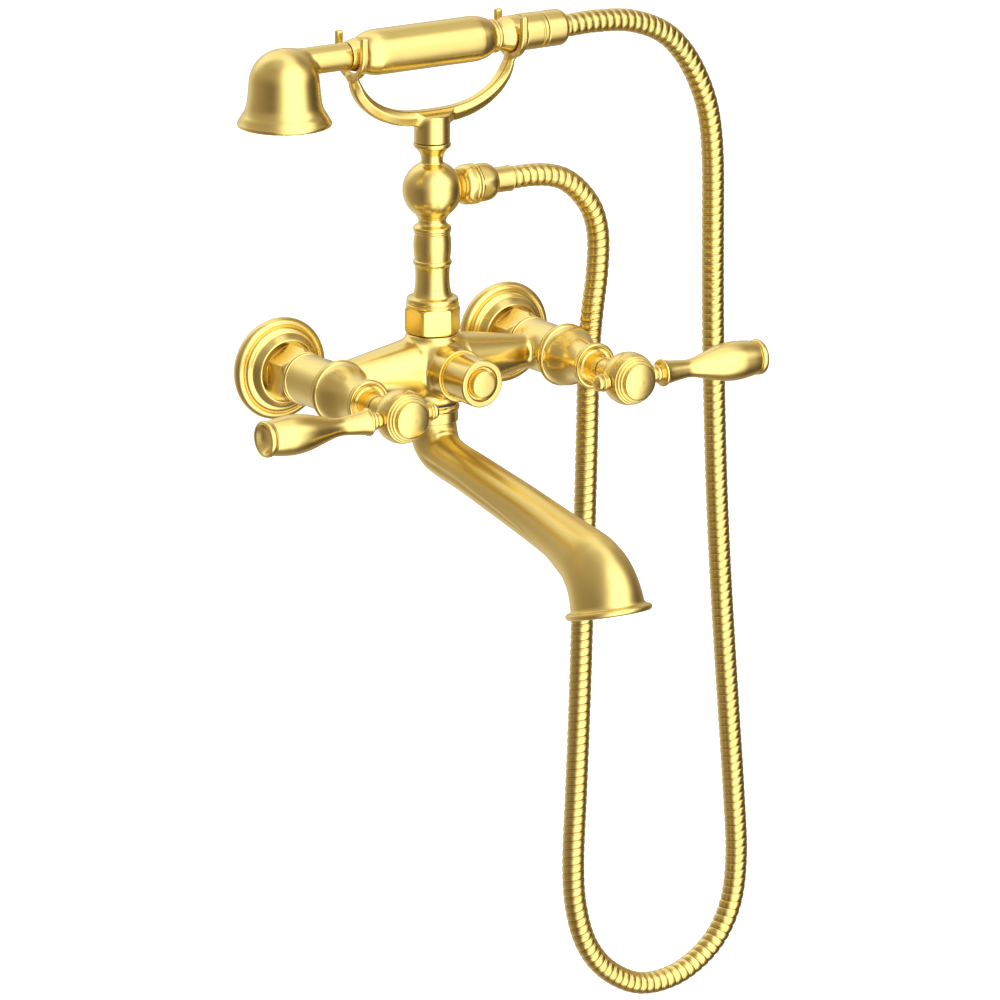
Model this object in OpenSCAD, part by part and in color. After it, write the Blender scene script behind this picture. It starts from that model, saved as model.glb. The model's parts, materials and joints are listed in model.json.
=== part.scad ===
// Wall mounted bath and shower mixer with a telephone handset on a cradle.
// X runs along the wall, +Y into the wall, +Z up. Millimetres.
// The origin lies on the wall plane, midway between the two water inlets.

/* [Mounting] */
// Distance between the two water inlets
inlet_centres = 180; // [172:1:190]
// Distance of the body's vertical axis from the wall
body_out = 54; // [54:1:60]
// Diameter of each wall flange
flange_d = 70; // [66:1:76]
// Depth of each wall flange
flange_depth = 16; // [15:0.5:16]

/* [Body] */
// Radius of each valve tube
tube_r = 17; // [16.8:0.1:17.4]
// Radius of a body arm where it meets the hub
arm_big_r = 20.5; // [18:0.5:21]
// Radius of a body arm where it meets the valve tube
arm_small_r = 11.5; // [10.5:0.5:13]
// Radius of the vertical hub
hub_r = 18; // [17:0.5:19]
// Radius of the diverter barrel
barrel_r = 17.3; // [16.8:0.1:18]

/* [Handles] */
// Distance of each handle ball's centre in front of the body axis
handle_out = 102; // [102:1:106]
// Radius of each handle ball
ball_r = 18; // [17.5:0.5:19]
// Length of each lever from the ball's centre to its tip
lever_l = 107; // [98:0.5:112]
// Radius of the lever at its fullest point
lever_r = 13.3; // [11.5:0.1:14]

/* [Spout] */
// Reach of the spout's outlet in front of the body axis
spout_reach = 211; // [195:1:220]
// Height of the outlet's centre below the inlets
spout_drop = 119; // [117:1:130]
// Radius of the outlet's lip
lip_r = 28.8; // [28:0.1:30]

/* [Riser and cradle] */
// Height of the riser's ball above the inlets
riser_ball_z = 121; // [119:1:123]
// Radius of the riser's ball
riser_ball_r = 20; // [19.5:0.5:20.5]
// Height of the handset's axis above the inlets
handset_z = 220; // [220:1:223]
// Distance from the riser to each cradle fork
fork_x = 63; // [62:0.5:64]

/* [Handset and hose] */
// Radius of the handset's grip
grip_r = 15.4; // [14:0.1:16.5]
// Radius of the handset's bell above its flare
bell_r = 23.6; // [22.5:0.1:24]
// Radius of the bell's rim
bell_rim_r = 31.5; // [30.5:0.5:33]
// Outside radius of the metal hose
hose_r = 7.8; // [7:0.1:8]

/* [Hidden] */
FINE = 96;
cx = inlet_centres / 2;
handle_y = -body_out - handle_out;
gold = [0.80, 0.66, 0.34];
deep_gold = [0.66, 0.52, 0.26];
rubber = [0.12, 0.12, 0.12];
white = [0.90, 0.90, 0.88];
steel = [0.62, 0.62, 0.62];

// Points of an arc, in order, from angle a to angle b about (x, y).
function arc(x, y, r, a, b, n = 8) =
    [for (i = [0:n]) [x + r * cos(a + (b - a) * i / n), y + r * sin(a + (b - a) * i / n)]];

// Solids of revolution. The profile is a closed outline of [radius, distance along the axis].
module lathe_up(profile) rotate_extrude($fn = FINE) polygon(profile);
module lathe_out(profile) rotate([90, 0, 0]) lathe_up(profile);
module lathe_right(profile) rotate([0, 90, 0]) lathe_up(profile);

// A plain ring between two radii and two distances along the axis.
function ring(r_in, r_out, a, b) = [[r_in, a], [r_out, a], [r_out, b], [r_in, b]];

// A hexagonal prism along Z, measured across its flats.
module hex(flats, z0, z1) translate([0, 0, z0]) cylinder(h = z1 - z0, r = flats / sqrt(3), $fn = 6);

// Places a child at the left or right valve. Every left piece mirrors its right twin.
module at_right() translate([cx, 0, 0]) children();
module at_left() mirror([1, 0, 0]) translate([cx, 0, 0]) children();

// A smooth curve through the route points, with k steps between neighbours.
function catmull(a, b, c, d, t) =
    0.5 * (2 * b + (c - a) * t + (2 * a - 5 * b + 4 * c - d) * t * t
    + (3 * b - a - 3 * c + d) * t * t * t);
function smooth(p, k) = let (n = len(p)) concat(
    [for (i = [0:n - 2], j = [0:k - 1])
        catmull(p[max(i - 1, 0)], p[i], p[i + 1], p[min(i + 2, n - 1)], j / k)],
    [p[n - 1]]);
function unit(v) = v / norm(v);

// Sweeps one outline per station along a path. The outline's first axis is square to "across".
module sweep(path, outlines, across) {
    n = len(path);
    m = len(outlines[0]);
    points = [for (i = [0:n - 1])
        let (t = unit(path[min(i + 1, n - 1)] - path[max(i - 1, 0)]),
            side = unit(cross(t, across)), other = cross(side, t))
        for (q = outlines[i]) path[i] + side * q[0] + other * q[1]];
    walls = [for (i = [0:n - 2], j = [0:m - 1])
        [i * m + j, i * m + (j + 1) % m, (i + 1) * m + (j + 1) % m, (i + 1) * m + j]];
    polyhedron(points, concat([[for (j = [m - 1:-1:0]) j]], walls,
        [[for (j = [0:m - 1]) (n - 1) * m + j]]), convexity = 10);
}

// ---------------------------------------------------------------- wall flanges and inlets

// Stepped flange: a half-round roll on the wall, a second roll, and a lip round the union nut.
// An inner web sits on the wall union.
module wall_flange() {
    r = flange_d / 2;
    d = flange_depth;
    color(gold) lathe_out(concat(
        [[r - 1.5, 0]], arc(r - 4.2, 4.2, 4.2, -40, 90, 10),
        [[r - 5.6, 7.4]], arc(r - 9, 6.6, 3.6, 30, 90, 5),
        [[r - 10.2, 11], [r - 12.4, d - 1.8], [r - 13, d - 0.4], [r - 14.1, d],
         [r - 14.1, 12], [13.4, 12], [13.4, 9.6], [r - 13, 9.6], [r - 11, 7.6],
         [r - 9.5, 6.4], [r - 6.8, 5.6], [r - 5, 3.4], [r - 5, 0]]));
}
module wall_flange_left() at_left() wall_flange();
module wall_flange_right() at_right() wall_flange();

// Union nut: threaded over the wall union, and its shoulder pulls the body's tail on to the washer.
module inlet_nut() color(gold) difference() {
    rotate([90, 0, 0]) intersection() {
        rotate(30) hex(35, 16.2, 37.2);
        lathe_up([[0, 16.2], [18.6, 16.2], [20.3, 17.8], [20.3, 34.6], [17.6, 37.2], [0, 37.2]]);
    }
    rotate([90, 0, 0]) translate([0, 0, 16]) cylinder(h = 9.5, r = 12.1, $fn = FINE);
    rotate([90, 0, 0]) translate([0, 0, 16]) cylinder(h = 14, r = 11.9, $fn = FINE);
    rotate([90, 0, 0]) translate([0, 0, 16]) cylinder(h = 22, r = 10.8, $fn = FINE);
}
module inlet_nut_left() at_left() inlet_nut();
module inlet_nut_right() at_right() inlet_nut();

// One fibre washer at each inlet.
module inlet_washer() color(rubber) lathe_out(ring(8, 11.8, 25.6, 27.6));
module inlet_washers() {
    at_left() inlet_washer();
    at_right() inlet_washer();
}

// ---------------------------------------------------------------- body

// One valve tube with its tail, rear rim and the shoulder that takes the bell.
module valve_tube() lathe_out([[7, 27.7], [11.7, 27.7], [11.7, 29.9], [10.5, 29.9], [10.5, 37.6],
    [tube_r + 0.3, 37.6], [tube_r + 0.3, 38.8], [tube_r - 0.5, 39.1], [tube_r - 0.5, 39.7],
    [tube_r, 40], [tube_r, 69], [tube_r - 1.6, 72], [tube_r - 2, 76], [14, 76], [14, 88],
    [11.3, 88], [11.3, 62], [7, 62]]);

// The waterways bored through one side of the casting.
module side_bores() {
    rotate([90, 0, 0]) translate([0, 0, 27]) cylinder(h = 36, r = 7, $fn = FINE);
    rotate([90, 0, 0]) translate([0, 0, 62]) cylinder(h = 30, r = 11.3, $fn = FINE);
}

module arm() rotate([0, 90, 0]) {
    translate([0, 0, 6]) cylinder(h = 14, r = arm_big_r, $fn = FINE);
    translate([0, 0, 20]) cylinder(h = cx - 38, r1 = arm_big_r, r2 = arm_small_r, $fn = FINE);
    translate([0, 0, cx - 18]) cylinder(h = 4, r1 = arm_small_r, r2 = arm_small_r + 2.5, $fn = FINE);
    translate([0, 0, cx - 14]) cylinder(h = 6, r = arm_small_r + 2.5, $fn = FINE);
}

// Hub, arms, valve tubes and diverter barrel, cast in one piece and bored for water.
module body_casting() color(gold) difference() {
    union() {
        at_left() valve_tube();
        at_right() valve_tube();
        translate([0, -body_out, 0]) {
            arm();
            mirror([1, 0, 0]) arm();
            lathe_up([[0, -24], [hub_r, -24], [hub_r, 21.5], [hub_r - 1.5, 23.2], [13, 23.2],
                [13, 33], [0, 33]]);
            sphere(r = hub_r + 2, $fn = FINE);
            lathe_out([[0, 0], [barrel_r, 0], [barrel_r, 34.6], [barrel_r - 0.7, 35.3], [0, 35.3]]);
        }
    }
    at_left() side_bores();
    at_right() side_bores();
    translate([0, -body_out, 0]) {
        translate([0, 0, -8]) cylinder(h = 42, r = 9, $fn = FINE);
        translate([0, 0, -25]) cylinder(h = 18, r = 13, $fn = FINE);
        rotate([90, 0, 0]) cylinder(h = 36, r = 12.5, $fn = FINE);
        rotate([0, 90, 0]) translate([0, 0, -cx + 8]) cylinder(h = 2 * cx - 16, r = 6.5, $fn = FINE);
    }
}

// ---------------------------------------------------------------- valves

// Bell over the cartridge: a round bead at the back, then an S-curve down to the bonnet.
module valve_bell() color(gold) lathe_out(concat(
    [[14.4, 76.2], [19, 76.2]], arc(18.7, 79.2, 2.8, -70, 70, 8),
    [[19.4, 82.4], [20.2, 83], [20.3, 84.6], [19.6, 87.6], [18.1, 91], [16.4, 94.5], [15, 98],
     [14.1, 101.5], [13.5, 105.5], [13.3, 109], [13.5, 111.4],
     [11.4, 111.4], [11.4, 106], [12.2, 101], [13.6, 96], [14.6, 92.5], [14.4, 90]]));
module valve_bell_left() at_left() valve_bell();
module valve_bell_right() at_right() valve_bell();

// Quarter-turn ceramic cartridge, screwed into the valve tube.
module cartridge() color(deep_gold) lathe_out([[5.15, 63], [11.2, 63], [11.2, 96], [9.6, 98],
    [9.6, 109.5], [8, 110.5], [5.15, 110.5]]);
module cartridge_left() at_left() cartridge();
module cartridge_right() at_right() cartridge();

// Trumpet bonnet: a rim on the front of the bell, hollowing down to the spindle.
module bonnet() color(gold) lathe_out(concat(
    [[5.6, 112], [14.6, 112]], arc(14.4, 113.3, 1.3, -80, 40, 5), arc(14.3, 115.9, 1.4, -40, 80, 5),
    [[13.3, 117.2], [12.3, 115.6], [10.8, 115], [9.4, 116], [8.5, 118.4], [8, 122], [7.6, 126.4],
     [5.6, 126.4]]));
module bonnet_left() at_left() bonnet();
module bonnet_right() at_right() bonnet();

// Spindle, from inside the cartridge to the splined end in the ball.
module spindle() color(steel) difference() {
    lathe_out([[0, 66], [5.1, 66], [5.1, body_out + handle_out - 15.2], [4.2, body_out + handle_out - 14.2],
        [4.2, body_out + handle_out - 1], [0, body_out + handle_out - 1]]);
    rotate([90, 0, 0]) translate([0, 0, body_out + handle_out - 12]) cylinder(h = 14, r = 2.1, $fn = 48);
}
module spindle_left() at_left() spindle();
module spindle_right() at_right() spindle();

// ---------------------------------------------------------------- handles

// Everything in a handle is drawn about the ball's centre, with the lever along +X.
module at_right_handle() translate([cx, handle_y, 0]) children();
module at_left_handle() mirror([1, 0, 0]) translate([cx, handle_y, 0]) children();

// Ball with a rear neck, stepped rings round its front, and bores for its fittings.
module handle_ball() color(gold) difference() {
    lathe_out(concat([[0, -29], [7.3, -29], [7.6, -26], [7.1, -20]],
        arc(0, 0, ball_r, -65, 25, 22),
        [[15.5, 7.7], [15.5, 9.1], [15.1, 9.5], [14.2, 9.6], [14.2, 10.8], [13.8, 11.2],
         [13, 11.3], [13, 12], [0, 12]]));
    rotate([90, 0, 0]) translate([0, 0, -30]) cylinder(h = 16, r = 5.3, $fn = FINE);
    rotate([90, 0, 0]) translate([0, 0, -15]) cylinder(h = 16, r = 4.3, $fn = FINE);
    rotate([90, 0, 0]) translate([0, 0, -3]) cylinder(h = 16, r = 7.5, $fn = FINE);
    rotate([0, 90, 0]) translate([0, 0, 9]) cylinder(h = 12, r = 4.2, $fn = FINE);
    rotate([0, -90, 0]) translate([0, 0, 9]) cylinder(h = 12, r = 3.2, $fn = FINE);
}
module handle_ball_left() at_left_handle() handle_ball();
module handle_ball_right() at_right_handle() handle_ball();

// Turned lever: stud, bead, flared ring, slim neck, full belly, and a lipped end with a deep dish.
module lever() {
    l = lever_l;
    k = l / 107;
    f = lever_r;
    color(gold) lathe_right(concat(
        [[0, 10], [4.1, 10], [4.1, 18.05], [5.2, 18.05], [5.4, 19.2], [4.9, 20.2]],
        arc(4.2, 22.3, 2, -60, 60, 8),
        [[4.9, 24.6], [5.2, 25.2], [7.9, 25.5], [9.1, 25.9], [9.4, 26.7], [9.2, 27.5], [8.6, 28.1],
         [8.2, 29.6], [7.7, 32.5], [7.1, 37], [6.5, 42], [6.1, 47], [6.6, 52], [7.7, 57], [9.1, 62]],
        [for (q = [[f - 2.8, 67], [f - 1.5, 72], [f - 0.6, 77], [f - 0.1, 82], [f, 87],
            [f - 0.4, 92], [f - 1, 97], [f - 1.8, 101.4]]) [q[0], q[1] * k]],
        [[10.8, l - 4.9], [11.6, l - 4.4], [12.1, l - 3.4], [12.1, l - 1.3], [11.6, l - 0.3],
         [10.8, l], [9.8, l - 0.5], [8.6, l - 2], [6.6, l - 4.2], [3.6, l - 5.6], [0, l - 6]]));
}
module lever_left() at_left_handle() lever();
module lever_right() at_right_handle() lever();

// Small turned finial on the side away from the lever.
module finial() color(gold) mirror([1, 0, 0]) lathe_right([[0, 10], [3.1, 10], [3.1, 18.05], [5.4, 18.05],
    [5.4, 19.6], [4.6, 20.2], [5.9, 20.8], [6.2, 21.6], [5.9, 22.4], [5, 22.8], [5.4, 23.4],
    [5.5, 24.6], [5, 26], [3.6, 27], [1.8, 27.5], [0, 27.6]]);
module finial_left() at_left_handle() finial();
module finial_right() at_right_handle() finial();

// Screw that holds the ball on the spindle, hidden under the cap.
module handle_screw() color(steel) difference() {
    lathe_out([[0, -11], [2, -11], [2, 0], [2, 3.1], [6, 3.1], [6, 6], [0, 6]]);
    translate([0, -4.4, 0]) cube([9, 4, 1.2], center = true);
}
module handle_screw_left() at_left_handle() handle_screw();
module handle_screw_right() at_right_handle() handle_screw();

// Domed cap on the front of the ball.
module handle_cap() color(gold) lathe_out([[0, 8], [7.3, 8], [7.3, 12.1], [12.3, 12.1], [12.5, 12.8],
    [12.3, 13.8], [11.6, 14.3], [9, 14.9], [5, 15.5], [0, 15.8]]);
module handle_cap_left() at_left_handle() handle_cap();
module handle_cap_right() at_right_handle() handle_cap();

// ---------------------------------------------------------------- diverter

module at_hub() translate([0, -body_out, 0]) children();

// Cap of the diverter, screwed into the barrel, with a recess round the button.
module diverter_cap() at_hub() color(gold) lathe_out([[3.08, 24], [12.4, 24], [12.4, 35.5],
    [15.3, 35.5], [16, 36.2], [16.2, 60.4], [15.4, 61.4], [12.2, 61.4], [11.4, 60.6], [11.4, 58.6],
    [9.55, 58.6], [9.55, 47], [6, 47], [6, 30.5], [3.08, 30.5]]);
// Push button: it goes in to send the water to the shower.
module diverter_button() at_hub() color(gold) lathe_out([[0, 52.5], [9.5, 52.5], [9.5, 63.6],
    [8.9, 64.6], [7, 65.2], [0, 65.4]]);
// Stem from the button to the valve disc in the hub.
module diverter_stem() at_hub() color(steel) lathe_out([[0, 14], [7.5, 14], [7.5, 17], [3, 17],
    [3, 52.4], [0, 52.4]]);
// Return spring round the stem, behind the button.
module diverter_spring() at_hub() color(steel) {
    turns = 5;
    steps = turns * 12;
    path = [for (i = [0:steps]) [4.4 * cos(i * 30), -31.2 - 20.6 * i / steps, 4.4 * sin(i * 30)]];
    sweep(path, [for (q = path) [for (a = [0:45:315]) [0.6 * cos(a), 0.6 * sin(a)]]], [0, 1, 0]);
}
// Seal on the valve disc.
module diverter_seal() at_hub() color(rubber) lathe_out(ring(3.05, 7.2, 17.1, 18.9));

// ---------------------------------------------------------------- spout

// Centre line of the spout in its own plane: [distance in front of the hub axis, height].
spout_line = [[0, -36.6], [0.2, -42], [1.4, -47.6], [3.8, -52.6], [7.6, -56.4], [12.4, -59],
    [18, -60.4], [30, -62.5], [50, -65], [76, -69], [106, -73.5], [136, -79], [160, -84.4],
    [174, -88.2], [spout_reach - 24, -spout_drop + 26.4], [spout_reach - 17.8, -spout_drop + 22.7],
    [spout_reach - 12.2, -spout_drop + 18.3], [spout_reach - 7.5, -spout_drop + 13],
    [spout_reach - 3.7, -spout_drop + 7], [spout_reach - 0.9, -spout_drop + 0.5]];
// Half width of the spout at each of those points, and of the waterway inside it.
spout_radii = [15.9, 16, 15.9, 15.6, 15.3, 15, 14.8, 14.6, 14.8, 15.2, 15.5, 16.2, 17.6, 19,
    20.6, 21.5, 22.4, 23.2, 23.9, 24.6];
spout_bores = [13.2, 13.1, 12.9, 12.6, 12.3, 12, 11.8, 11.6, 11.8, 12.2, 12.5, 13.2, 14.6, 16,
    17.4, 18, 18.4, 18.6, 18.6, 18.6];
// How far the section stands out beyond a circle at its top, and below.
spout_crown = [0, 0.2, 1.2, 2.2, 2.3, 1.4, 0.6, 0.1, 0, 0, 0, 0, 0.1, 0.6, 1.7, 3, 3.8, 3.7, 2.7, 0.9];
spout_keel = [-0.5, -0.9, -1.2, -1.5, -1.6, -1.6, -1.6, -1.5, -1.4, -0.6, 0.7, 0.3, -1.4, -1.8,
    -1.7, -1.6, -1.4, -1.1, -0.7, -0.3];
function spout_path(k) = smooth([for (q = spout_line) [0, -body_out - q[0], q[1]]], k);
function spout_sizes(radii, share, k) = smooth([for (i = [0:len(radii) - 1])
    [radii[i], spout_crown[i] * share, spout_keel[i] * share]], k);
// Cross-section: a circle that is higher or lower at its top and bottom.
function spout_outline(h) = [for (a = [0:15:345])
    let (c = cos(a), r = h[0] + (c > 0 ? h[1] : -h[2]) * c) [r * c, h[0] * sin(a)]];

// Swivelling spout, open at the bell-shaped outlet, with a bore down its whole length.
module spout() color(gold) difference() {
    union() {
        at_hub() lathe_up(concat([[0, -37.8], [16.7, -37.8], [17.2, -37.3], [17.2, -31.4]],
            arc(15.9, -28.3, 2.3, -60, 60, 8), [[16.6, -25.9], [16, -25.6], [0, -25.6]]));
        sweep(spout_path(2), [for (q = spout_sizes(spout_radii, 1, 2)) spout_outline(q)], [1, 0, 0]);
        translate([0, -body_out - spout_reach, -spout_drop]) rotate([-15, 0, 0])
            lathe_up(concat([[0, 4.2], [22.6, 4.2], [23.6, 1.6], [25.4, 1.6], [26, 0.4]],
                arc(lip_r - 2.2, -2, 2.2, 80, -80, 8), [[lip_r - 4.4, -4.3], [0, -4.3]]));
    }
    at_hub() translate([0, 0, -47]) cylinder(h = 22, r = 11, $fn = FINE);
    sweep(spout_path(2), [for (q = spout_sizes(spout_bores, 0, 2)) spout_outline(q)], [1, 0, 0]);
    translate([0, -body_out - spout_reach, -spout_drop]) rotate([-15, 0, 0])
        translate([0, 0, -6]) cylinder(h = 18, r = 20.6, $fn = FINE);
}

// Tail of the spout: the tube that turns in the hub, with two grooves for O-rings.
module spout_tail() at_hub() color(gold) lathe_up([[7.5, -36], [10.95, -36], [10.95, -25.5],
    [12.94, -25.5], [12.94, -23], [11.4, -23], [11.4, -20.4], [12.94, -20.4], [12.94, -17],
    [11.4, -17], [11.4, -14.4], [12.94, -14.4], [12.94, -9.5], [7.5, -9.5]]);
// The two O-rings in those grooves.
module spout_oring(z) translate([0, 0, z]) rotate_extrude($fn = FINE)
    translate([12.2, 0]) circle(r = 0.75, $fn = 24);
module spout_orings() at_hub() color(rubber) {
    spout_oring(-21.7);
    spout_oring(-15.7);
}
// Low-friction ring between the hub and the spout's collar.
module spout_slip_ring() at_hub() color(rubber) lathe_up(ring(13.1, 16, -25.4, -24.2));
// Aerator pressed into the outlet.
module aerator() color(steel) translate([0, -body_out - spout_reach, -spout_drop]) rotate([-15, 0, 0])
    translate([0, 0, 6]) difference() {
        cylinder(h = 5.5, r = 20.5, $fn = FINE);
        for (a = [0:45:315]) rotate(a) translate([13, 0, -1]) cylinder(h = 8, r = 3.6, $fn = 24);
        translate([0, 0, -1]) cylinder(h = 8, r = 6, $fn = 48);
    }

// ---------------------------------------------------------------- riser

// Washer between the body and the riser.
module riser_washer() at_hub() color(rubber) lathe_up(ring(8.5, 12.5, 33.1, 35));
// Hexagonal nut that pulls the riser down on to the body.
module riser_nut() at_hub() color(gold) difference() {
    intersection() {
        rotate(38) hex(33.4, 23.6, 41);
        lathe_up([[0, 23.6], [17.9, 23.6], [19.2, 25], [19.2, 39.4], [17.9, 41], [0, 41]]);
    }
    translate([0, 0, 23]) cylinder(h = 15, r = 13.1, $fn = FINE);
    translate([0, 0, 23]) cylinder(h = 19, r = 11.2, $fn = FINE);
}
// Turned column: flange, waisted shaft, ring, urn, neck, ball with a side boss, and a lip on top.
module riser_column() at_hub() {
    z = riser_ball_z;
    color(gold) difference() {
        union() {
            lathe_up(concat([[0, 35.1], [12.8, 35.1], [12.8, 37.6], [11, 37.6], [11, 41.2], [17.7, 41.2],
                [17.9, 43], [17.1, 43.6], [17.5, 44.2], [17.5, 46.2], [16.9, 47.4], [13.6, 48.2],
                [12.7, 50.5], [12, 54], [11.6, 58], [11.5, 62], [11.6, 66], [12, 69.4], [12.8, 70.4],
                [13.1, 71.6], [12.8, 72.8], [12, 73.4], [12.2, 75.5], [12.6, 79], [12.8, 83],
                [12.6, 87], [12.1, 90], [11.8, 91.4], [12.3, 92], [12.3, 93.2], [12.9, 93.8],
                [12.9, 95.4], [12.1, 96.4], [10.4, 97.4], [9.5, 99]],
                [[9.3, z - 21.4], [9.7, z - 19.4], [10.8, z - 17.6]], arc(0, z, riser_ball_r, -54, 67, 24),
                [[7.4, z + 19.5], [7.4, z + 21.4], [7.9, z + 24], [9.2, z + 26.5], [11, z + 28.6],
                 [12.4, z + 29.8], [12.7, z + 31], [12.4, z + 32.4], [0, z + 32.4]]));
            translate([0, 0, z]) lathe_right([[0, 12], [9.9, 12], [9.9, 21], [0, 21]]);
        }
        translate([0, 0, 35]) cylinder(h = z - 34, r = 6, $fn = FINE);
        translate([0, 0, z]) rotate([0, 90, 0]) cylinder(h = 22, r = 5.4, $fn = FINE);
        translate([0, 0, z + 18]) cylinder(h = 16, r = 4.1, $fn = FINE);
    }
}

// ---------------------------------------------------------------- hose connections

module at_hose() translate([0, -body_out, riser_ball_z]) children();

// Hexagonal adaptor screwed into the ball: rounded hexagon, collar and threaded spigot.
module hose_adaptor() at_hose() color(gold) difference() {
    union() {
        intersection() {
            rotate([0, 90, 0]) rotate(18) hex(27.2, 21.1, 29);
            lathe_right([[0, 21.1], [10.8, 21.1], [12.4, 22.4], [13.5, 24.2], [14.2, 26.6],
                [14.2, 29], [0, 29]]);
        }
        lathe_right([[0, 14], [5.35, 14], [5.35, 21.1], [6, 21.1], [6, 28.6], [13.6, 28.6], [13.9, 29.2],
            [13.9, 30.6], [13.5, 31.2], [10, 31.2], [10, 41], [0, 41]]);
    }
    rotate([0, 90, 0]) translate([0, 0, 13]) cylinder(h = 29, r = 4, $fn = FINE);
}
// Washer in the hose nut.
module hose_washer() at_hose() color(rubber) lathe_right(ring(4.2, 8.4, 41.1, 42.9));
// Domed hexagonal nut that holds the hose.
module hose_nut() at_hose() color(gold) difference() {
    intersection() {
        rotate([0, 90, 0]) rotate(18) hex(25.6, 31.5, 47.6);
        lathe_right([[0, 31.5], [13.4, 31.5], [13.9, 32.2], [13.9, 36], [13.5, 40], [12.6, 43.6],
            [11.4, 46], [10, 47.6], [0, 47.6]]);
    }
    rotate([0, 90, 0]) translate([0, 0, 31]) cylinder(h = 13.8, r = 10.1, $fn = FINE);
    rotate([0, 90, 0]) translate([0, 0, 31]) cylinder(h = 18, r = 8.8, $fn = FINE);
}
// Ferrule crimped on the hose.
module hose_ferrule() at_hose() color(gold) lathe_right([[4.5, 43], [9.6, 43], [9.6, 44.6], [8.6, 44.6],
    [8.7, 60], [8.9, 60.4], [8.9, 61.6], [8.5, 62], [4.5, 62]]);

// Route of the hose: [distance from the riser's axis, height above the inlets].
hose_start = [62.05, riser_ball_z];
hose_end = [104.4, handset_z];
hose_route = [hose_start, [78, 121], [94, 119], [108, 113.5], [121, 102], [130, 88], [134, 70],
    [133, 45], [129.5, 20], [126.5, -12], [125.5, -60], [124, -115], [122.5, -170], [121, -225],
    [119, -280], [117, -325], [115, -370], [117, -403], [126, -433], [144, -456], [172, -471],
    [204, -469.5], [232, -453], [248, -427], [253, -392], [250.5, -345], [246, -290], [241.5, -235],
    [237, -175], [233.5, -115], [231, -50], [229.5, 10], [229, 65], [228.5, 112], [225, 144],
    [217, 168], [204, 190], [186, 207], [160, 217.5], [132, 220.5], hose_end];
module tube(path, r)
    sweep(path, [for (q = path) [for (a = [0:30:330]) [r * cos(a), r * sin(a)]]], [0, 1, 0]);
// Spiral-wound metal hose, in one plane with the riser. Its bore runs right through.
module hose() {
    path = smooth([for (q = hose_route) [q[0], -body_out, q[1]]], 2);
    through = concat([path[0] - [1, 0, 0]], path, [path[len(path) - 1] - [1, 0, 0]]);
    color(deep_gold) difference() {
        tube(path, hose_r);
        tube(through, hose_r - 1.8);
    }
}

// ---------------------------------------------------------------- cradle

// One fork: an upright U across the handset's axis.
module fork() translate([-2.5, 0, handset_z + 1.3]) rotate([90, 0, 90]) linear_extrude(5) difference() {
    union() {
        circle(r = 17.8, $fn = FINE);
        translate([-17.8, 0]) square([35.6, 13]);
    }
    circle(r = 13.8, $fn = FINE);
    translate([-13.8, 0]) square([27.6, 20]);
}
// Middle of one moulded arm: [distance from the riser, height below the handset's axis].
arm_line = [[0, 49], [10, 48.8], [21.2, 47.8], [31.4, 45.4], [41.5, 41.2], [50.5, 35.1],
    [57, 27.9], [60.7, 20.7], [62.8, 15]];
// Half thickness and half width of the arm at each point.
arm_half = [[5.2, 5.6], [5.2, 5.6], [5.2, 5.6], [5.1, 5.6], [4.9, 5.6], [4.6, 5.8], [4.2, 6.2],
    [3.5, 6.2], [2.1, 4]];
// Moulded section: one ridge along each face, above a receding underside.
function arm_outline(h) = [for (q = [[1, 0.5], [0.7, 0.74], [0.4, 0.96], [0.12, 1], [-0.2, 0.86],
    [-0.6, 0.66], [-1, 0.36], [-1, -0.36], [-0.6, -0.66], [-0.2, -0.86], [0.12, -1], [0.4, -0.96],
    [0.7, -0.74], [1, -0.5]]) [h[0] * q[0], h[1] * q[1]]];
// Both arms, as one sweep from the left fork to the right.
module cradle_arms() {
    n = len(arm_line);
    order = [for (i = [1 - n:n - 1]) i];
    path = smooth([for (i = order) [sign(i) * arm_line[abs(i)][0] * fork_x / 63, 0,
        handset_z - arm_line[abs(i)][1]]], 2);
    sizes = smooth([for (i = order) [arm_half[abs(i)][0], arm_half[abs(i)][1], 0]], 2);
    sweep(path, [for (h = sizes) arm_outline(h)], [0, 1, 0]);
}
// Cradle: socket on the riser, two moulded arms and two forks.
module cradle() at_hub() color(gold) difference() {
    union() {
        lathe_up([[0, riser_ball_z + 32.7], [12, riser_ball_z + 32.7], [12.2, riser_ball_z + 33.4],
            [12.2, handset_z - 53], [11, handset_z - 50], [0, handset_z - 47]]);
        cradle_arms();
        translate([fork_x, 0, 0]) fork();
        translate([-fork_x, 0, 0]) fork();
    }
    translate([0, 0, riser_ball_z + 32]) cylinder(h = 10, r = 4.1, $fn = FINE);
}
// Threaded stud between the riser and the cradle.
module cradle_stud() at_hub() color(steel) translate([0, 0, riser_ball_z + 20])
    cylinder(h = 21, r = 4, $fn = FINE);

// ---------------------------------------------------------------- handset

module at_handset() translate([0, -body_out, handset_z]) children();
bell_x = -115.5;

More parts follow.
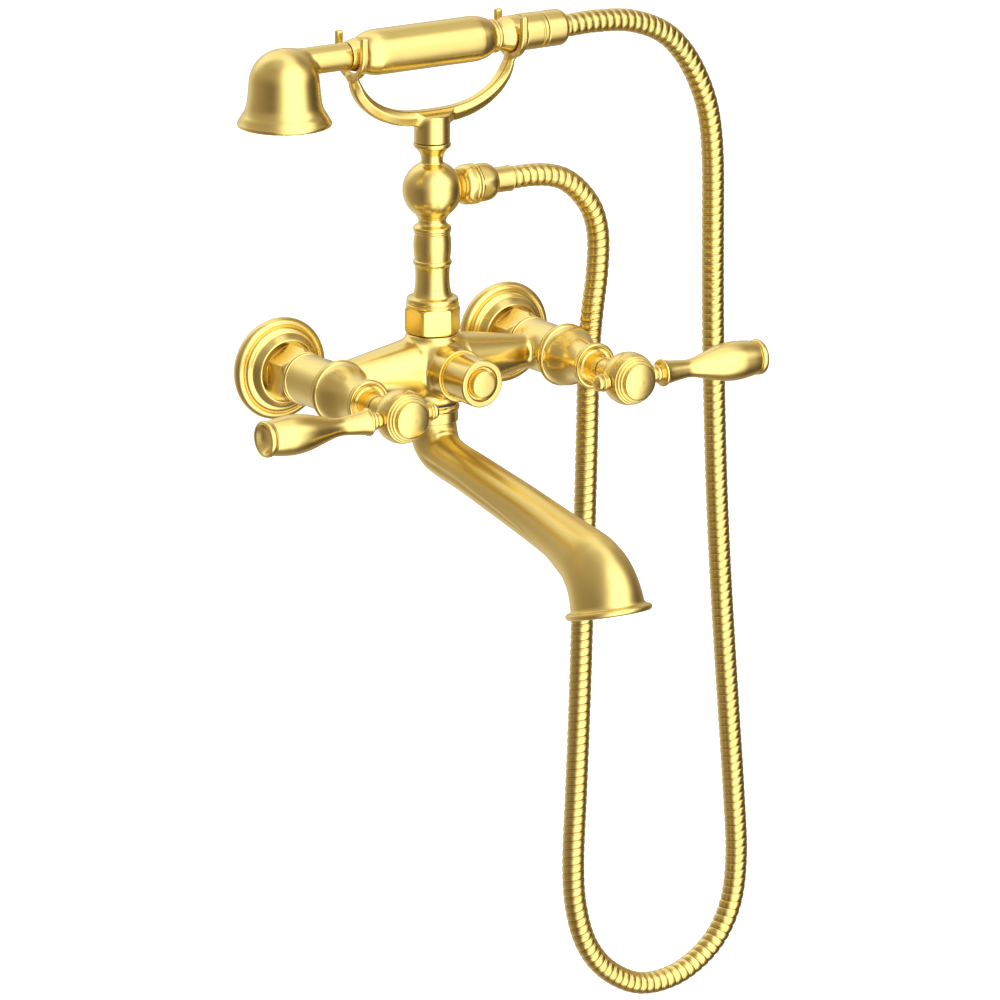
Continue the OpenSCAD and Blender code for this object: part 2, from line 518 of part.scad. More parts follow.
// Bell head and its arm, cast in one piece. The bell is open downwards.
module handset_head() at_handset() color(gold) difference() {
    union() {
        translate([bell_x, 0, 0]) lathe_up(concat([[0, -41], [bell_rim_r - 0.8, -41]],
            arc(bell_rim_r - 1.7, -39.3, 1.7, -50, 50, 5),
            [[bell_rim_r - 1.5, -36.4], [bell_r + 5.3, -34.2], [bell_r + 3.6, -31.8],
             [bell_r + 2.2, -28.8], [bell_r + 1.4, -25.4], [bell_r + 0.7, -20], [bell_r + 0.3, -15.5]],
            arc(0, -13, bell_r, 2, 90, 16)));
        lathe_right([[0, -115], [9.3, -115], [9.3, -69], [9, -67.2], [0, -67.2]]);
    }
    translate([bell_x, 0, 0]) lathe_up(concat([[0, -42], [bell_rim_r - 3, -42], [bell_rim_r - 3, -38],
        [bell_r + 1.2, -33], [bell_r + 0.7, -29]], [[bell_r - 2.2, -24], [bell_r - 3, -13]],
        arc(0, -13, bell_r - 3, 6, 90, 16)));
    rotate([0, 90, 0]) translate([0, 0, -115]) cylinder(h = 50, r = 5.5, $fn = FINE);
    rotate([0, 90, 0]) translate([0, 0, -78.2]) cylinder(h = 14, r = 6.05, $fn = FINE);
}
// Spray face with rings of nozzles, set up inside the bell.
module spray_face() at_handset() color(white) translate([bell_x, 0, -33]) difference() {
    cylinder(h = 3.4, r = bell_r + 0.5, $fn = FINE);
    for (q = [[6, 6], [12, 12], [18, 18]], i = [0:q[1] - 1])
        rotate(i * 360 / q[1]) translate([q[0], 0, -1]) cylinder(h = 6, r = 0.9, $fn = 16);
}
// Collar between the arm and the grip; its swelling rests in the left fork.
module front_collar() at_handset() color(gold) lathe_right([[6.1, -67], [9.5, -67], [9.8, -65.6],
    [10.5, -63.4], [11.1, -61.2], [11.3, -59.4], [11, -58], [10, -57.1], [6.1, -57.1]]);
// Water pipe through the grip.
module handset_pipe() at_handset() color(steel) lathe_right(ring(4.5, 6, -78, 60));
// Barrel grip with rounded shoulders.
module grip() {
    r = grip_r;
    at_handset() color(gold) lathe_right(concat([[6.1, -56.8], [r - 4.6, -56.8], [r - 3.2, -55.6],
        [r - 1.6, -52.6], [r - 0.5, -48.6], [r, -44], [r, 30], [r - 0.4, 35], [r - 1.4, 39.6],
        [r - 3, 43.4], [r - 4.4, 45.2]], [[r - 5, 45.6], [6.1, 45.6], [6.1, 42],
        [r - 6.5, 41], [r - 2.6, 33], [r - 2.6, -45], [r - 5, -52], [6.1, -53]]));
}
// Collar behind the grip: a neck, a bead, and the plain part that rests in the right fork.
module rear_collar() at_handset() color(gold) lathe_right([[6.1, 45.8], [10.3, 45.8], [10.4, 47.2],
    [11.2, 47.6], [11.5, 48.6], [11.2, 49.8], [10.2, 50.4], [10.4, 53], [11.2, 56], [12, 59],
    [12.2, 61], [12.2, 68.8], [6.1, 68.8]]);
// Connector with double rings, screwed on the pipe; the hose swivels on it.
module handset_connector() at_handset() color(gold) lathe_right([[6.1, 69], [12.3, 69], [12.5, 70],
    [12.5, 82], [11.8, 82.5], [11.8, 83.2], [12.5, 83.7], [12.5, 85.7], [12, 86.2], [6.4, 86.2],
    [6.4, 96], [4.5, 96], [4.5, 61], [6.1, 61]]);
// Swivel ferrule: the hose turns freely on the connector.
module hose_swivel() at_handset() color(gold) lathe_right([[6.45, 86.6], [12, 86.6], [12.4, 87.2],
    [12.4, 99.4], [12.1, 101.2], [11.2, 102.8], [9.8, 103.7], [8.6, 104], [4.5, 104], [4.5, 98],
    [6.45, 98]]);

wall_flange_left();
wall_flange_right();
inlet_nut_left();
inlet_nut_right();
inlet_washers();
body_casting();
valve_bell_left();
valve_bell_right();
cartridge_left();
cartridge_right();
bonnet_left();
bonnet_right();
spindle_left();
spindle_right();
handle_ball_left();
handle_ball_right();
lever_left();
lever_right();
finial_left();
finial_right();
handle_screw_left();
handle_screw_right();
handle_cap_left();
handle_cap_right();
diverter_cap();
diverter_button();
diverter_stem();
diverter_spring();
diverter_seal();
spout_slip_ring();
spout();
spout_tail();
spout_orings();
aerator();
riser_washer();
riser_nut();
riser_column();
hose_adaptor();
hose_washer();
hose_nut();
hose_ferrule();
hose();
hose_swivel();
cradle();
cradle_stud();
handset_head();
spray_face();
front_collar();
handset_pipe();
grip();
rear_collar();
handset_connector();
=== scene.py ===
"""Wall mounted bath and shower mixer with a telephone handset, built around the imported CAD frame."""

import json
import math

import bpy
import numpy as np
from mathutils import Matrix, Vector


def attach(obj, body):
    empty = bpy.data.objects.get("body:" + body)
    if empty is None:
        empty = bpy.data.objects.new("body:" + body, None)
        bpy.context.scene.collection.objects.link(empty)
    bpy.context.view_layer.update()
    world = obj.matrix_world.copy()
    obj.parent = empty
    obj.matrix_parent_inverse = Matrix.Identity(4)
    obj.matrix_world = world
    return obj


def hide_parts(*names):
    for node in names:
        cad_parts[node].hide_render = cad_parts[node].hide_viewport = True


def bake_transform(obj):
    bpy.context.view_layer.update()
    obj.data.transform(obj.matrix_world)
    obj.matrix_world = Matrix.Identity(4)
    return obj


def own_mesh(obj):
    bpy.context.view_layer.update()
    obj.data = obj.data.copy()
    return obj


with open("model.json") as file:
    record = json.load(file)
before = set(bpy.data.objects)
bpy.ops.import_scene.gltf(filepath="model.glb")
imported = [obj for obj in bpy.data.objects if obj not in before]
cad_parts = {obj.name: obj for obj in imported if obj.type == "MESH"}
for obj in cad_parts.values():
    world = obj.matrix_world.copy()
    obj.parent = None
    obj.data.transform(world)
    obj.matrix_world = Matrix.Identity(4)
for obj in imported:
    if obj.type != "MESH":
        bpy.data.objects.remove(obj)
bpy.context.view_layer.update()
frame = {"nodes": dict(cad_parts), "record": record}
MM = 0.001

# ---------------------------------------------------------------- camera
# A long lens from the front left, a little above the mixer.
camera_data = bpy.data.cameras.new("camera")
camera_data.lens = 277.1
camera_data.sensor_width = 36.0
camera_data.clip_start, camera_data.clip_end = 0.05, 60.0
camera = bpy.data.objects.new("camera", camera_data)
camera.location = (-2.7190, -4.2593, 1.2927)
aim = Vector((0.0245, -0.0991, -0.0874))
camera.rotation_mode = "QUATERNION"
camera.rotation_quaternion = (aim - camera.location).to_track_quat("-Z", "Y")
bpy.context.collection.objects.link(camera)
bpy.context.scene.camera = camera

# ---------------------------------------------------------------- shower hose
# A hose wound from one strip of brass whose edges hook into each other, plated in satin gold.
# It leaves the ferrule on the riser, hangs in one long loop and comes back to the handset.
BODY_OUT = 54.0
RISER_BALL_Z, HANDSET_Z = 121.0, 220.0
HOSE_R = 7.8
HOSE_PITCH = 5.75
HOSE_ROUTE = [[62.05, RISER_BALL_Z], [78, 121], [94, 119], [108, 113.5], [121, 102], [130, 88],
              [134, 70], [133, 45], [129.5, 20], [126.5, -12], [125.5, -60], [124, -115],
              [122.5, -170], [121, -225], [119, -280], [117, -325], [115, -370], [117, -403],
              [126, -433], [144, -456], [172, -471], [204, -469.5], [232, -453], [248, -427],
              [253, -392], [250.5, -345], [246, -290], [241.5, -235], [237, -175],
              [233.5, -115], [231, -50], [229.5, 10], [229, 65], [228.5, 112], [225, 144],
              [217, 168], [204, 190], [186, 207], [160, 217.5], [132, 220.5], [104.4, HANDSET_Z]]


def smooth_line(points, per_step):
    """Catmull-Rom curve: each stretch is the cubic whose end slopes are half the distance between
    the points on either side. Works on points of any number of coordinates."""
    p = np.asarray(points, float)
    before = np.vstack([p[:1], p[:-2]])
    after = np.vstack([p[2:], p[-1:]])
    a, b, c, d = before[:, None], p[:-1, None], p[1:, None], after[:, None]
    t = (np.arange(per_step) / per_step)[None, :, None]
    curve = 0.5 * (2 * b + (c - a) * t + (2 * a - 5 * b + 4 * c - d) * t**2
                   + (3 * b - a - 3 * c + d) * t**3)
    return np.vstack([curve.reshape(-1, p.shape[1]), p[-1:]])


def evenly(points, spacing):
    """The same line with its points at equal steps along its own length."""
    steps = np.linalg.norm(np.diff(points, axis=0), axis=1)
    along = np.concatenate([[0], np.cumsum(steps)])
    count = max(int(round(along[-1] / spacing)), 2)
    wanted = np.linspace(0, along[-1], count + 1)
    places = [np.interp(wanted, along, column) for column in points.T]
    return np.stack(places, 1), wanted


def closed_surface(name, grid, joined_rows=False, marks=None):
    """Mesh from a grid of points in millimetres, rows by columns. The columns wrap round.
    A first or last row whose points all meet is a pole, closed by a fan of triangles, and
    joined rows wrap as well. Faces are turned so that the enclosed volume is positive.
    The UV map holds the share of the way round and the length along the rows in centimetres."""
    rows, cols = grid.shape[:2]
    pole = [np.ptp(grid[i], axis=0).max() < 1e-6 and not joined_rows for i in (0, rows - 1)]
    index = np.arange(rows * cols).reshape(rows, cols)
    if pole[0]:
        index[0, :] = index[0, 0]
    if pole[1]:
        index[-1, :] = index[-1, 0]
    below = index if joined_rows else index[:-1]
    above = np.roll(index, -1, axis=0) if joined_rows else index[1:]
    quads = np.stack([below, np.roll(below, -1, 1), np.roll(above, -1, 1), above], -1)
    length = np.zeros(rows + 1)
    length[1:rows] = np.cumsum(np.linalg.norm(np.diff(grid[:, 0], axis=0), axis=1))
    length[rows] = length[rows - 1] + np.linalg.norm(grid[0, 0] - grid[-1, 0])
    v0 = np.repeat(length[:len(quads), None], cols, 1) * 0.1
    v1 = np.repeat(length[1:len(quads) + 1, None], cols, 1) * 0.1
    u0 = np.repeat(np.arange(cols)[None] / cols, len(quads), 0)
    uv = np.stack([np.stack([u0, v0], -1), np.stack([u0 + 1 / cols, v0], -1),
                   np.stack([u0 + 1 / cols, v1], -1), np.stack([u0, v1], -1)], -2)
    quads, uv = quads.reshape(-1, 4), uv.reshape(-1, 4, 2)
    points = grid.reshape(-1, 3) * MM
    first = (quads[:, 0] == quads[:, 1])
    last = (quads[:, 2] == quads[:, 3])
    full = ~(first | last)
    three = np.vstack([quads[first][:, [0, 2, 3]], quads[last][:, [0, 1, 2]]])
    three_uv = np.concatenate([uv[first][:, [0, 2, 3]], uv[last][:, [0, 1, 2]]])
    four, four_uv = quads[full], uv[full]
    tris = np.vstack([four[:, [0, 1, 2]], four[:, [0, 2, 3]], three])
    a, b, c = (points[tris[:, i]] for i in range(3))
    if np.einsum("ij,ij->i", a, np.cross(b, c)).sum() < 0:
        four, four_uv, three, three_uv = (x[:, ::-1] for x in (four, four_uv, three, three_uv))
    used, fresh = np.unique(np.concatenate([four.ravel(), three.ravel()]), return_inverse=True)
    four, three = fresh[:four.size].reshape(-1, 4), fresh[four.size:].reshape(-1, 3)
    mesh = bpy.data.meshes.new(name)
    mesh.from_pydata(points[used], [], four.tolist() + three.tolist())
    layer = mesh.uv_layers.new(name="turning")
    layer.data.foreach_set("uv", np.concatenate([four_uv.ravel(), three_uv.ravel()]))
    # marks become the groove attribute, which the hose's material reads to paint shade.
    if marks is not None:
        attribute = mesh.attributes.new("groove", "FLOAT", "POINT")
        attribute.data.foreach_set("value", marks.reshape(-1)[used].astype(np.float32))
    return as_piece(name, mesh)


def as_piece(name, mesh):
    """Object at the origin for a finished mesh, shaded smooth."""
    mesh.polygons.foreach_set("use_smooth", np.ones(len(mesh.polygons), bool))
    mesh.validate()
    piece = bpy.data.objects.new(name, mesh)
    bpy.context.collection.objects.link(piece)
    return piece


def dress(piece, material, slot_name, body, *nodes):
    """Gives a piece its material and the body that it rides on, and hides the frame's nodes that it
    stands for. slot_name is not used.
    """
    piece.data.materials.append(material)
    if body:
        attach(piece, body)
    if nodes:
        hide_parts(*nodes)
    return piece


def wound_hose():
    """Tube about the route. Its radius falls in a groove wherever the share of a turn, length over
    pitch plus angle over a full turn, is near 0, and in a shallower groove near a fifth of a turn."""
    line = smooth_line(HOSE_ROUTE, 12)
    line, along = evenly(line, HOSE_PITCH / 12)
    ahead = np.gradient(line, axis=0)
    ahead /= np.linalg.norm(ahead, axis=1)[:, None]
    angle = np.linspace(0, 2 * np.pi, 26, endpoint=False)
    turn = along[:, None] / HOSE_PITCH + angle[None] / (2 * np.pi)
    share = turn - np.floor(turn)
    deep = np.exp(-((np.minimum(share, 1 - share)) / 0.06) ** 2)
    fine = np.exp(-((share - 0.20) / 0.045) ** 2)
    crown = np.sin(np.pi * np.clip((share - 0.20) / 0.80, 0, 1))
    radius = HOSE_R - 0.16 - 0.85 * deep - 0.40 * fine + 0.16 * crown
    ends = np.clip(np.minimum(along, along[-1] - along) / 3.0, 0, 1)[:, None]
    radius = radius * ends + (HOSE_R - 0.8) * (1 - ends)
    middle = np.stack([line[:, 0], np.full(len(line), -BODY_OUT), line[:, 1]], 1)
    side = np.stack([-ahead[:, 1], np.zeros(len(line)), ahead[:, 0]], 1)
    grid = (middle[:, None] + side[:, None] * (radius * np.cos(angle))[..., None]
            + np.array([0, 1, 0]) * (radius * np.sin(angle))[..., None])
    caps = [np.repeat(middle[i][None, None], 26, 1) for i in (0, -1)]
    # Mask of painted shade: 1 in the deep grooves, less in the fine ones, and rising to 1 all round
    # over the last 3 mm at each end and on the caps.
    marks = np.vstack([np.ones((1, 26)), np.maximum(deep, 0.7 * fine) * ends + 1 - ends,
                       np.ones((1, 26))])
    return np.concatenate([caps[0], grid, caps[1]]), middle, marks


def node_group(name, inputs, outputs):
    """Empty shader node group with named sockets."""
    group = bpy.data.node_groups.new(name, "ShaderNodeTree")
    for kind, entries in (("INPUT", inputs), ("OUTPUT", outputs)):
        for label, what, value in entries:
            socket = group.interface.new_socket(name=label, in_out=kind, socket_type=what)
            if value is not None and kind == "INPUT":
                socket.default_value = value
    return group, group.nodes.new("NodeGroupInput"), group.nodes.new("NodeGroupOutput")


def calc(tree, operation, *values):
    """Math node of one operation; each value is a number or a socket."""
    node = tree.nodes.new("ShaderNodeMath")
    node.operation = operation
    for socket, value in zip(node.inputs, values):
        if isinstance(value, (int, float)):
            socket.default_value = value
        else:
            tree.links.new(value, socket)
    return node.outputs[0]


def noise(tree, vector, scale, detail=2.0, roughness=0.5):
    """Noise texture's value over a vector."""
    node = tree.nodes.new("ShaderNodeTexNoise")
    node.inputs["Scale"].default_value = scale
    node.inputs["Detail"].default_value = detail
    node.inputs["Roughness"].default_value = roughness
    tree.links.new(vector, node.inputs["Vector"])
    return node.outputs[0]


# Fine marks of the polishing belt: streaks long in one direction, a slow drift of tone, and a
# height for the bump. Across is the pattern's vector, already stretched along the streaks.
satin_marks, marks_in, marks_out = node_group(
    "satin_marks",
    [("Across", "NodeSocketVector", None), ("Place", "NodeSocketVector", None),
     ("Streaks", "NodeSocketFloat", 0.1), ("Roughness", "NodeSocketFloat", 0.3)],
    [("Tone", "NodeSocketFloat", None), ("Roughness", "NodeSocketFloat", None),
     ("Height", "NodeSocketFloat", None)])
streak = noise(satin_marks, marks_in.outputs["Across"], 1.0, 3.0, 0.6)
drift = noise(satin_marks, marks_in.outputs["Place"], 14.0, 2.0)
centred = calc(satin_marks, "SUBTRACT", streak, 0.5)
tone = calc(satin_marks, "MULTIPLY_ADD", centred, marks_in.outputs["Streaks"], 0.5)
tone = calc(satin_marks, "MULTIPLY_ADD", calc(satin_marks, "SUBTRACT", drift, 0.5), 0.12, tone)
rough = calc(satin_marks, "MULTIPLY_ADD", centred, 0.06, marks_in.outputs["Roughness"])
rough = calc(satin_marks, "MULTIPLY_ADD", calc(satin_marks, "SUBTRACT", drift, 0.5), 0.04, rough)
satin_marks.links.new(tone, marks_out.inputs["Tone"])
satin_marks.links.new(rough, marks_out.inputs["Roughness"])
satin_marks.links.new(streak, marks_out.inputs["Height"])

# Turning marks run round a piece: the share of the way round becomes a point on a small circle,
# and the length along the outline is stretched, so that streaks are long round the axis.
turning_grain, grain_in, grain_out = node_group(
    "turning_grain",
    [("Round and along", "NodeSocketVector", None), ("Reach", "NodeSocketFloat", 1.5),
     ("Fineness", "NodeSocketFloat", 55.0)],
    [("Across", "NodeSocketVector", None)])
parts = turning_grain.nodes.new("ShaderNodeSeparateXYZ")
turning_grain.links.new(grain_in.outputs[0], parts.inputs[0])
round_angle = calc(turning_grain, "MULTIPLY", parts.outputs[0], 2 * math.pi)
joined = turning_grain.nodes.new("ShaderNodeCombineXYZ")
for place, operation in ((0, "COSINE"), (1, "SINE")):
    wave = calc(turning_grain, operation, round_angle)
    turning_grain.links.new(calc(turning_grain, "MULTIPLY", wave, grain_in.outputs["Reach"]),
                            joined.inputs[place])
turning_grain.links.new(calc(turning_grain, "MULTIPLY", parts.outputs[1],
                             grain_in.outputs["Fineness"]), joined.inputs[2])
turning_grain.links.new(joined.outputs[0], grain_out.inputs[0])


def metal(name, light, dark, rough, streaks, turned=True, stretch=(60, 600, 600), groove=False,
          bump=0.012):
    """Plated metal: the marks mix a lighter and a darker tone, and vary roughness and bump."""
    material = bpy.data.materials.new(name)
    material.use_nodes = True
    tree = material.node_tree
    shader = tree.nodes["Principled BSDF"]
    shader.inputs["Metallic"].default_value = 1.0
    where = tree.nodes.new("ShaderNodeTexCoord")
    marks = tree.nodes.new("ShaderNodeGroup")
    marks.node_tree = satin_marks
    marks.inputs["Streaks"].default_value = streaks
    marks.inputs["Roughness"].default_value = rough
    if turned:
        grain = tree.nodes.new("ShaderNodeGroup")
        grain.node_tree = turning_grain
        tree.links.new(where.outputs["UV"], grain.inputs[0])
        tree.links.new(grain.outputs[0], marks.inputs["Across"])
    else:
        spread = tree.nodes.new("ShaderNodeMapping")
        spread.inputs["Scale"].default_value = stretch
        tree.links.new(where.outputs["Object"], spread.inputs["Vector"])
        tree.links.new(spread.outputs[0], marks.inputs["Across"])
    tree.links.new(where.outputs["Object"], marks.inputs["Place"])
    ramp = tree.nodes.new("ShaderNodeValToRGB")
    ramp.color_ramp.elements[0].color = (*dark, 1)
    ramp.color_ramp.elements[1].color = (*light, 1)
    ramp.color_ramp.elements[0].position = 0.3
    ramp.color_ramp.elements[1].position = 0.7
    tree.links.new(marks.outputs["Tone"], ramp.inputs[0])
    colour = ramp.outputs[0]
    # Painted shade: where the mesh's groove attribute is high, the base colour is mixed towards dark
    # brown. This stands in for the shade inside the hose's grooves and at its ends.
    if groove:
        mark = tree.nodes.new("ShaderNodeAttribute")
        mark.attribute_name = "groove"
        groove_shade = tree.nodes.new("ShaderNodeMix")
        groove_shade.data_type = "RGBA"
        groove_shade.inputs[7].default_value = (0.20, 0.115, 0.03, 1)
        tree.links.new(calc(tree, "MULTIPLY", mark.outputs["Fac"], 0.8), groove_shade.inputs[0])
        tree.links.new(colour, groove_shade.inputs[6])
        colour = groove_shade.outputs[2]
    tree.links.new(colour, shader.inputs["Base Color"])
    tree.links.new(marks.outputs["Roughness"], shader.inputs["Roughness"])
    relief = tree.nodes.new("ShaderNodeBump")
    relief.inputs["Strength"].default_value = bump
    relief.inputs["Distance"].default_value = 0.0002
    tree.links.new(marks.outputs["Height"], relief.inputs["Height"])
    tree.links.new(relief.outputs[0], shader.inputs["Normal"])
    return material


GOLD_LIGHT, GOLD_DARK = (0.90, 0.71, 0.245), (0.82, 0.63, 0.205)
turned_gold = metal("turned_satin_gold", GOLD_LIGHT, GOLD_DARK, 0.23, 0.24)
# The hose's metal has shade painted darker into its grooves and at its ends.
hose_gold = metal("wound_strip_gold", (0.88, 0.69, 0.235), (0.77, 0.58, 0.18), 0.20, 0.2,
                  groove=True)
hose_grid, hose_line, hose_shade_mask = wound_hose()
hose = closed_surface("wound_hose", hose_grid, marks=hose_shade_mask)
dress(hose, hose_gold, "hose_gold", None, "hose")
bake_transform(hose)

# ---------------------------------------------------------------- wall flanges
# Two pressed brass covers on the wall, each with a half-round roll, a hollow, a second roll and
# a lip round the union nut. They slide over the wall unions and are held by the nuts.
INLET_X = 90.0


def arc(x, y, r, start, end, count=8):
    """Points of a circle's arc between two angles in degrees."""
    angle = np.radians(np.linspace(start, end, count + 1))
    return np.stack([x + r * np.cos(angle), y + r * np.sin(angle)], 1).tolist()


def eased(outline, edge=0.35, corner=32.0, fine=0.7):
    """Outline of [radius, distance] with its gentle bends made one smooth curve and its corners
    rounded. A corner turns by more than the given angle; it becomes a parabola between points a
    little to each side, with one more point beyond each, so that flat faces stay flat."""
    p = np.asarray(outline, float)
    step = np.diff(p, axis=0)
    heading = np.degrees(np.arctan2(step[:, 1], step[:, 0]))
    turn = np.abs((np.diff(heading) + 180) % 360 - 180)
    breaks = [0, *(np.flatnonzero(turn > corner) + 1).tolist(), len(p) - 1]
    out = [p[:1]]
    for start, end in zip(breaks[:-1], breaks[1:]):
        run = p[start:end + 1]
        if len(run) > 2:
            run = smooth_line(run, 4)
            run = evenly(run, fine)[0]
        reach = np.linalg.norm(np.diff(run, axis=0), axis=1).sum()
        gap = min(edge, 0.4 * reach)
        if len(run) > 2:
            far = np.concatenate([[0], np.cumsum(np.linalg.norm(np.diff(run, axis=0), axis=1))])
            keep = (far > 1.35 * gap) & (far < far[-1] - 1.35 * gap)
            inner = run[keep]
            first, last = (np.array([np.interp(q, far, run[:, i]) for i in (0, 1)])
                           for q in (gap, far[-1] - gap))
        else:
            way = (run[1] - run[0]) / max(reach, 1e-9)
            first, last = run[0] + way * gap, run[1] - way * gap
            inner = (np.array([run[0] + way * 1.4 * gap, run[1] - way * 1.4 * gap])
                     if reach > 3.2 * gap else np.zeros((0, 2)))
        if start:
            before, at = out[-1][-1], p[start]
            t = np.array([0.25, 0.5, 0.75])[:, None]
            out.append((1 - t) ** 2 * before + 2 * t * (1 - t) * at + t**2 * first)
            out.append(first[None])
        out.append(inner)
        out.append(last[None] if end < len(p) - 1 else p[-1:])
    return np.vstack(out)


def turned(name, outline, origin, way, body, *nodes, around=112, edge=0.35, finish=None,
           slot_name="satin_gold", flats=None, shape=None, fine=0.7):
    """Surface of revolution: the outline's radius and distance are carried round an axis that
    starts at origin and runs along way. An outline that doesn't start and end on the axis is a
    ring, joined back to its start. With flats, given as (across, turn, low, high), the radius
    between two distances is the soft lesser of the outline's and a hexagon's. shape moves the
    finished points."""
    outline = np.asarray(outline, float)
    on_axis = outline[0, 0] < 1e-6 and outline[-1, 0] < 1e-6
    line = eased(outline, edge, fine=fine)
    angle = np.linspace(0, 2 * np.pi, around, endpoint=False)
    radius = np.repeat(line[:, :1], around, 1)
    if flats:
        across, spin, low, high = flats
        bent = (np.degrees(angle) - spin + 30) % 60 - 30
        hexagon = across / 2 / np.cos(np.radians(bent))
        sharp = 3.0
        lesser = -np.log(np.exp(-sharp * radius) + np.exp(-sharp * hexagon[None])) / sharp
        inside = (line[:, 1] > low) & (line[:, 1] < high) & (line[:, 0] > across * 0.42)
        radius = np.where(inside[:, None], lesser, radius)
    axis = np.asarray(way, float)
    other = np.array([0, 0, 1.0]) if abs(axis[2]) < 0.9 else np.array([1.0, 0, 0])
    one = np.cross(axis, other)
    one /= np.linalg.norm(one)
    two = np.cross(axis, one)
    grid = (np.asarray(origin, float) + axis * line[:, 1, None, None]
            + one * (radius * np.cos(angle))[..., None] + two * (radius * np.sin(angle))[..., None])
    if shape:
        grid = shape(grid)
    piece = closed_surface(name, grid, joined_rows=not on_axis)
    return dress(piece, finish or turned_gold, slot_name, body, *nodes)


OUT, UP, RIGHT = (0, -1, 0), (0, 0, 1), (1, 0, 0)
FLANGE_R, FLANGE_DEEP = 35.0, 16.0
flange_outline = (
    [[FLANGE_R - 1.5, 0]] + arc(FLANGE_R - 4.2, 4.2, 4.2, -40, 90, 10)
    + [[FLANGE_R - 5.6, 7.4]] + arc(FLANGE_R - 9, 6.6, 3.6, 30, 90, 5)
    + [[FLANGE_R - 10.2, 11], [FLANGE_R - 12.4, 14.2], [FLANGE_R - 13, 15.6],
       [FLANGE_R - 14.1, FLANGE_DEEP], [FLANGE_R - 14.1, 12], [13.4, 12], [13.4, 9.6],
       [FLANGE_R - 13, 9.6], [FLANGE_R - 11, 7.6], [FLANGE_R - 9.5, 6.4], [FLANGE_R - 6.8, 5.6],
       [FLANGE_R - 5, 3.4], [FLANGE_R - 5, 0]])
for side, sign in (("left", -1), ("right", 1)):
    turned(f"flange_{side}", flange_outline, (sign * INLET_X, 0, 0), OUT, "mixer",
           f"wall_flange_{side}", around=144, edge=0.3)

# ---------------------------------------------------------------- inlet union nuts
# Hexagonal brass nuts, chamfered front and back. Each is screwed on its wall union and pulls the
# body's tail against a fibre washer.
nut_outline = [[10.8, 16.2], [18.4, 16.2], [20.3, 18.0], [20.3, 34.4], [17.9, 37.2], [10.8, 37.2]]
for side, sign in (("left", -1), ("right", 1)):
    turned(f"union_nut_{side}", nut_outline, (sign * INLET_X, 0, 0), OUT, "mixer",
           f"inlet_nut_{side}", around=192, edge=0.3, flats=(35, 0, 0, 60))

# ---------------------------------------------------------------- body casting
# One brass casting: a vertical hub, two tapered arms, two valve tubes and the short barrel of
# the diverter, with soft cast fillets between them. Rims are turned on it afterwards.


def blended(a, b, reach):
    """Soft lesser of two distances: the lesser, less a bump where they are within reach."""
    near = np.clip(reach - np.abs(a - b), 0, None) / reach
    return np.minimum(a, b) - near**2 * reach * 0.25


def blended_out(a, b, reach):
    """Soft greater of two distances."""
    return -blended(-a, -b, reach)


def skin(name, depth, low, high, step):
    """Closed surface where depth(x, y, z), negative inside, is 0. Space is cut into cubes of one
    step; each cube that the surface crosses gets a point, the mean of the crossings on its
    edges, and each crossed edge gets the face between its four cubes. The points are then
    moved along the slope of depth until it is 0, and that slope gives the shading normals."""
    axes = [np.arange(a, b + step, step) for a, b in zip(low, high)]
    space = np.meshgrid(*axes, indexing="ij")
    value = depth(*space)
    inside = value < 0
    cells = tuple(n - 1 for n in value.shape)
    total, count = np.zeros((*cells, 3)), np.zeros(cells)
    faces = []
    for way in range(3):
        ahead, here = [slice(None)] * 3, [slice(None)] * 3
        ahead[way], here[way] = slice(1, None), slice(None, -1)
        start, end = value[tuple(here)], value[tuple(ahead)]
        crossed = inside[tuple(here)] != inside[tuple(ahead)]
        share = np.where(crossed, start / np.where(crossed, start - end, 1), 0)
        one, two = [i for i in range(3) if i != way]
        for i in (0, 1):
            for j in (0, 1):
                part = [slice(None)] * 3
                part[one] = slice(i, i + cells[one])
                part[two] = slice(j, j + cells[two])
                hit, at = crossed[tuple(part)], share[tuple(part)]
                count += hit
                total[..., way] += at * hit
                total[..., one] += i * hit
                total[..., two] += j * hit
        edge = np.argwhere(crossed)
        edge = edge[(edge[:, one] > 0) & (edge[:, two] > 0) & (edge[:, one] < cells[one])
                    & (edge[:, two] < cells[two])]
        corner = np.repeat(edge[:, None], 4, 1)
        corner[:, [1, 2], one] -= 1
        corner[:, [2, 3], two] -= 1
        flip = inside[tuple(edge.T)] ^ (way == 1)
        ids = np.ravel_multi_index(tuple(corner.reshape(-1, 3).T), cells).reshape(-1, 4)
        ids[~flip] = ids[~flip][:, ::-1]
        faces.append(ids)
    faces = np.vstack(faces)
    used, faces = np.unique(faces, return_inverse=True)
    cell = np.stack(np.unravel_index(used, cells), 1)
    points = cell + total.reshape(-1, 3)[used] / count.reshape(-1)[used][:, None]
    points = points * step + np.asarray(low, float)
    h = 0.05
    for _ in range(5):
        slope = np.stack([(depth(*(points + h * e).T) - depth(*(points - h * e).T)) / (2 * h)
                          for e in np.eye(3)], 1)
        size = np.einsum("ij,ij->i", slope, slope)
        move = -slope * (depth(*points.T) / np.maximum(size, 0.2))[:, None]
        long = np.linalg.norm(move, axis=1)[:, None]
        points = points + move * np.minimum(1, 0.4 * step / np.maximum(long, 1e-9))
    mesh = bpy.data.meshes.new(name)
    mesh.from_pydata(points * MM, [], faces.reshape(-1, 4).tolist())
    piece = as_piece(name, mesh)
    normals = slope / np.maximum(np.linalg.norm(slope, axis=1), 1e-9)[:, None]
    if len(mesh.vertices) == len(normals):
        mesh.normals_split_custom_set_from_vertices(normals.tolist())
    return piece


ARM_BIG, ARM_SMALL, HUB_R, BARREL_R, TUBE_R = 20.5, 11.5, 18.0, 17.3, 17.0


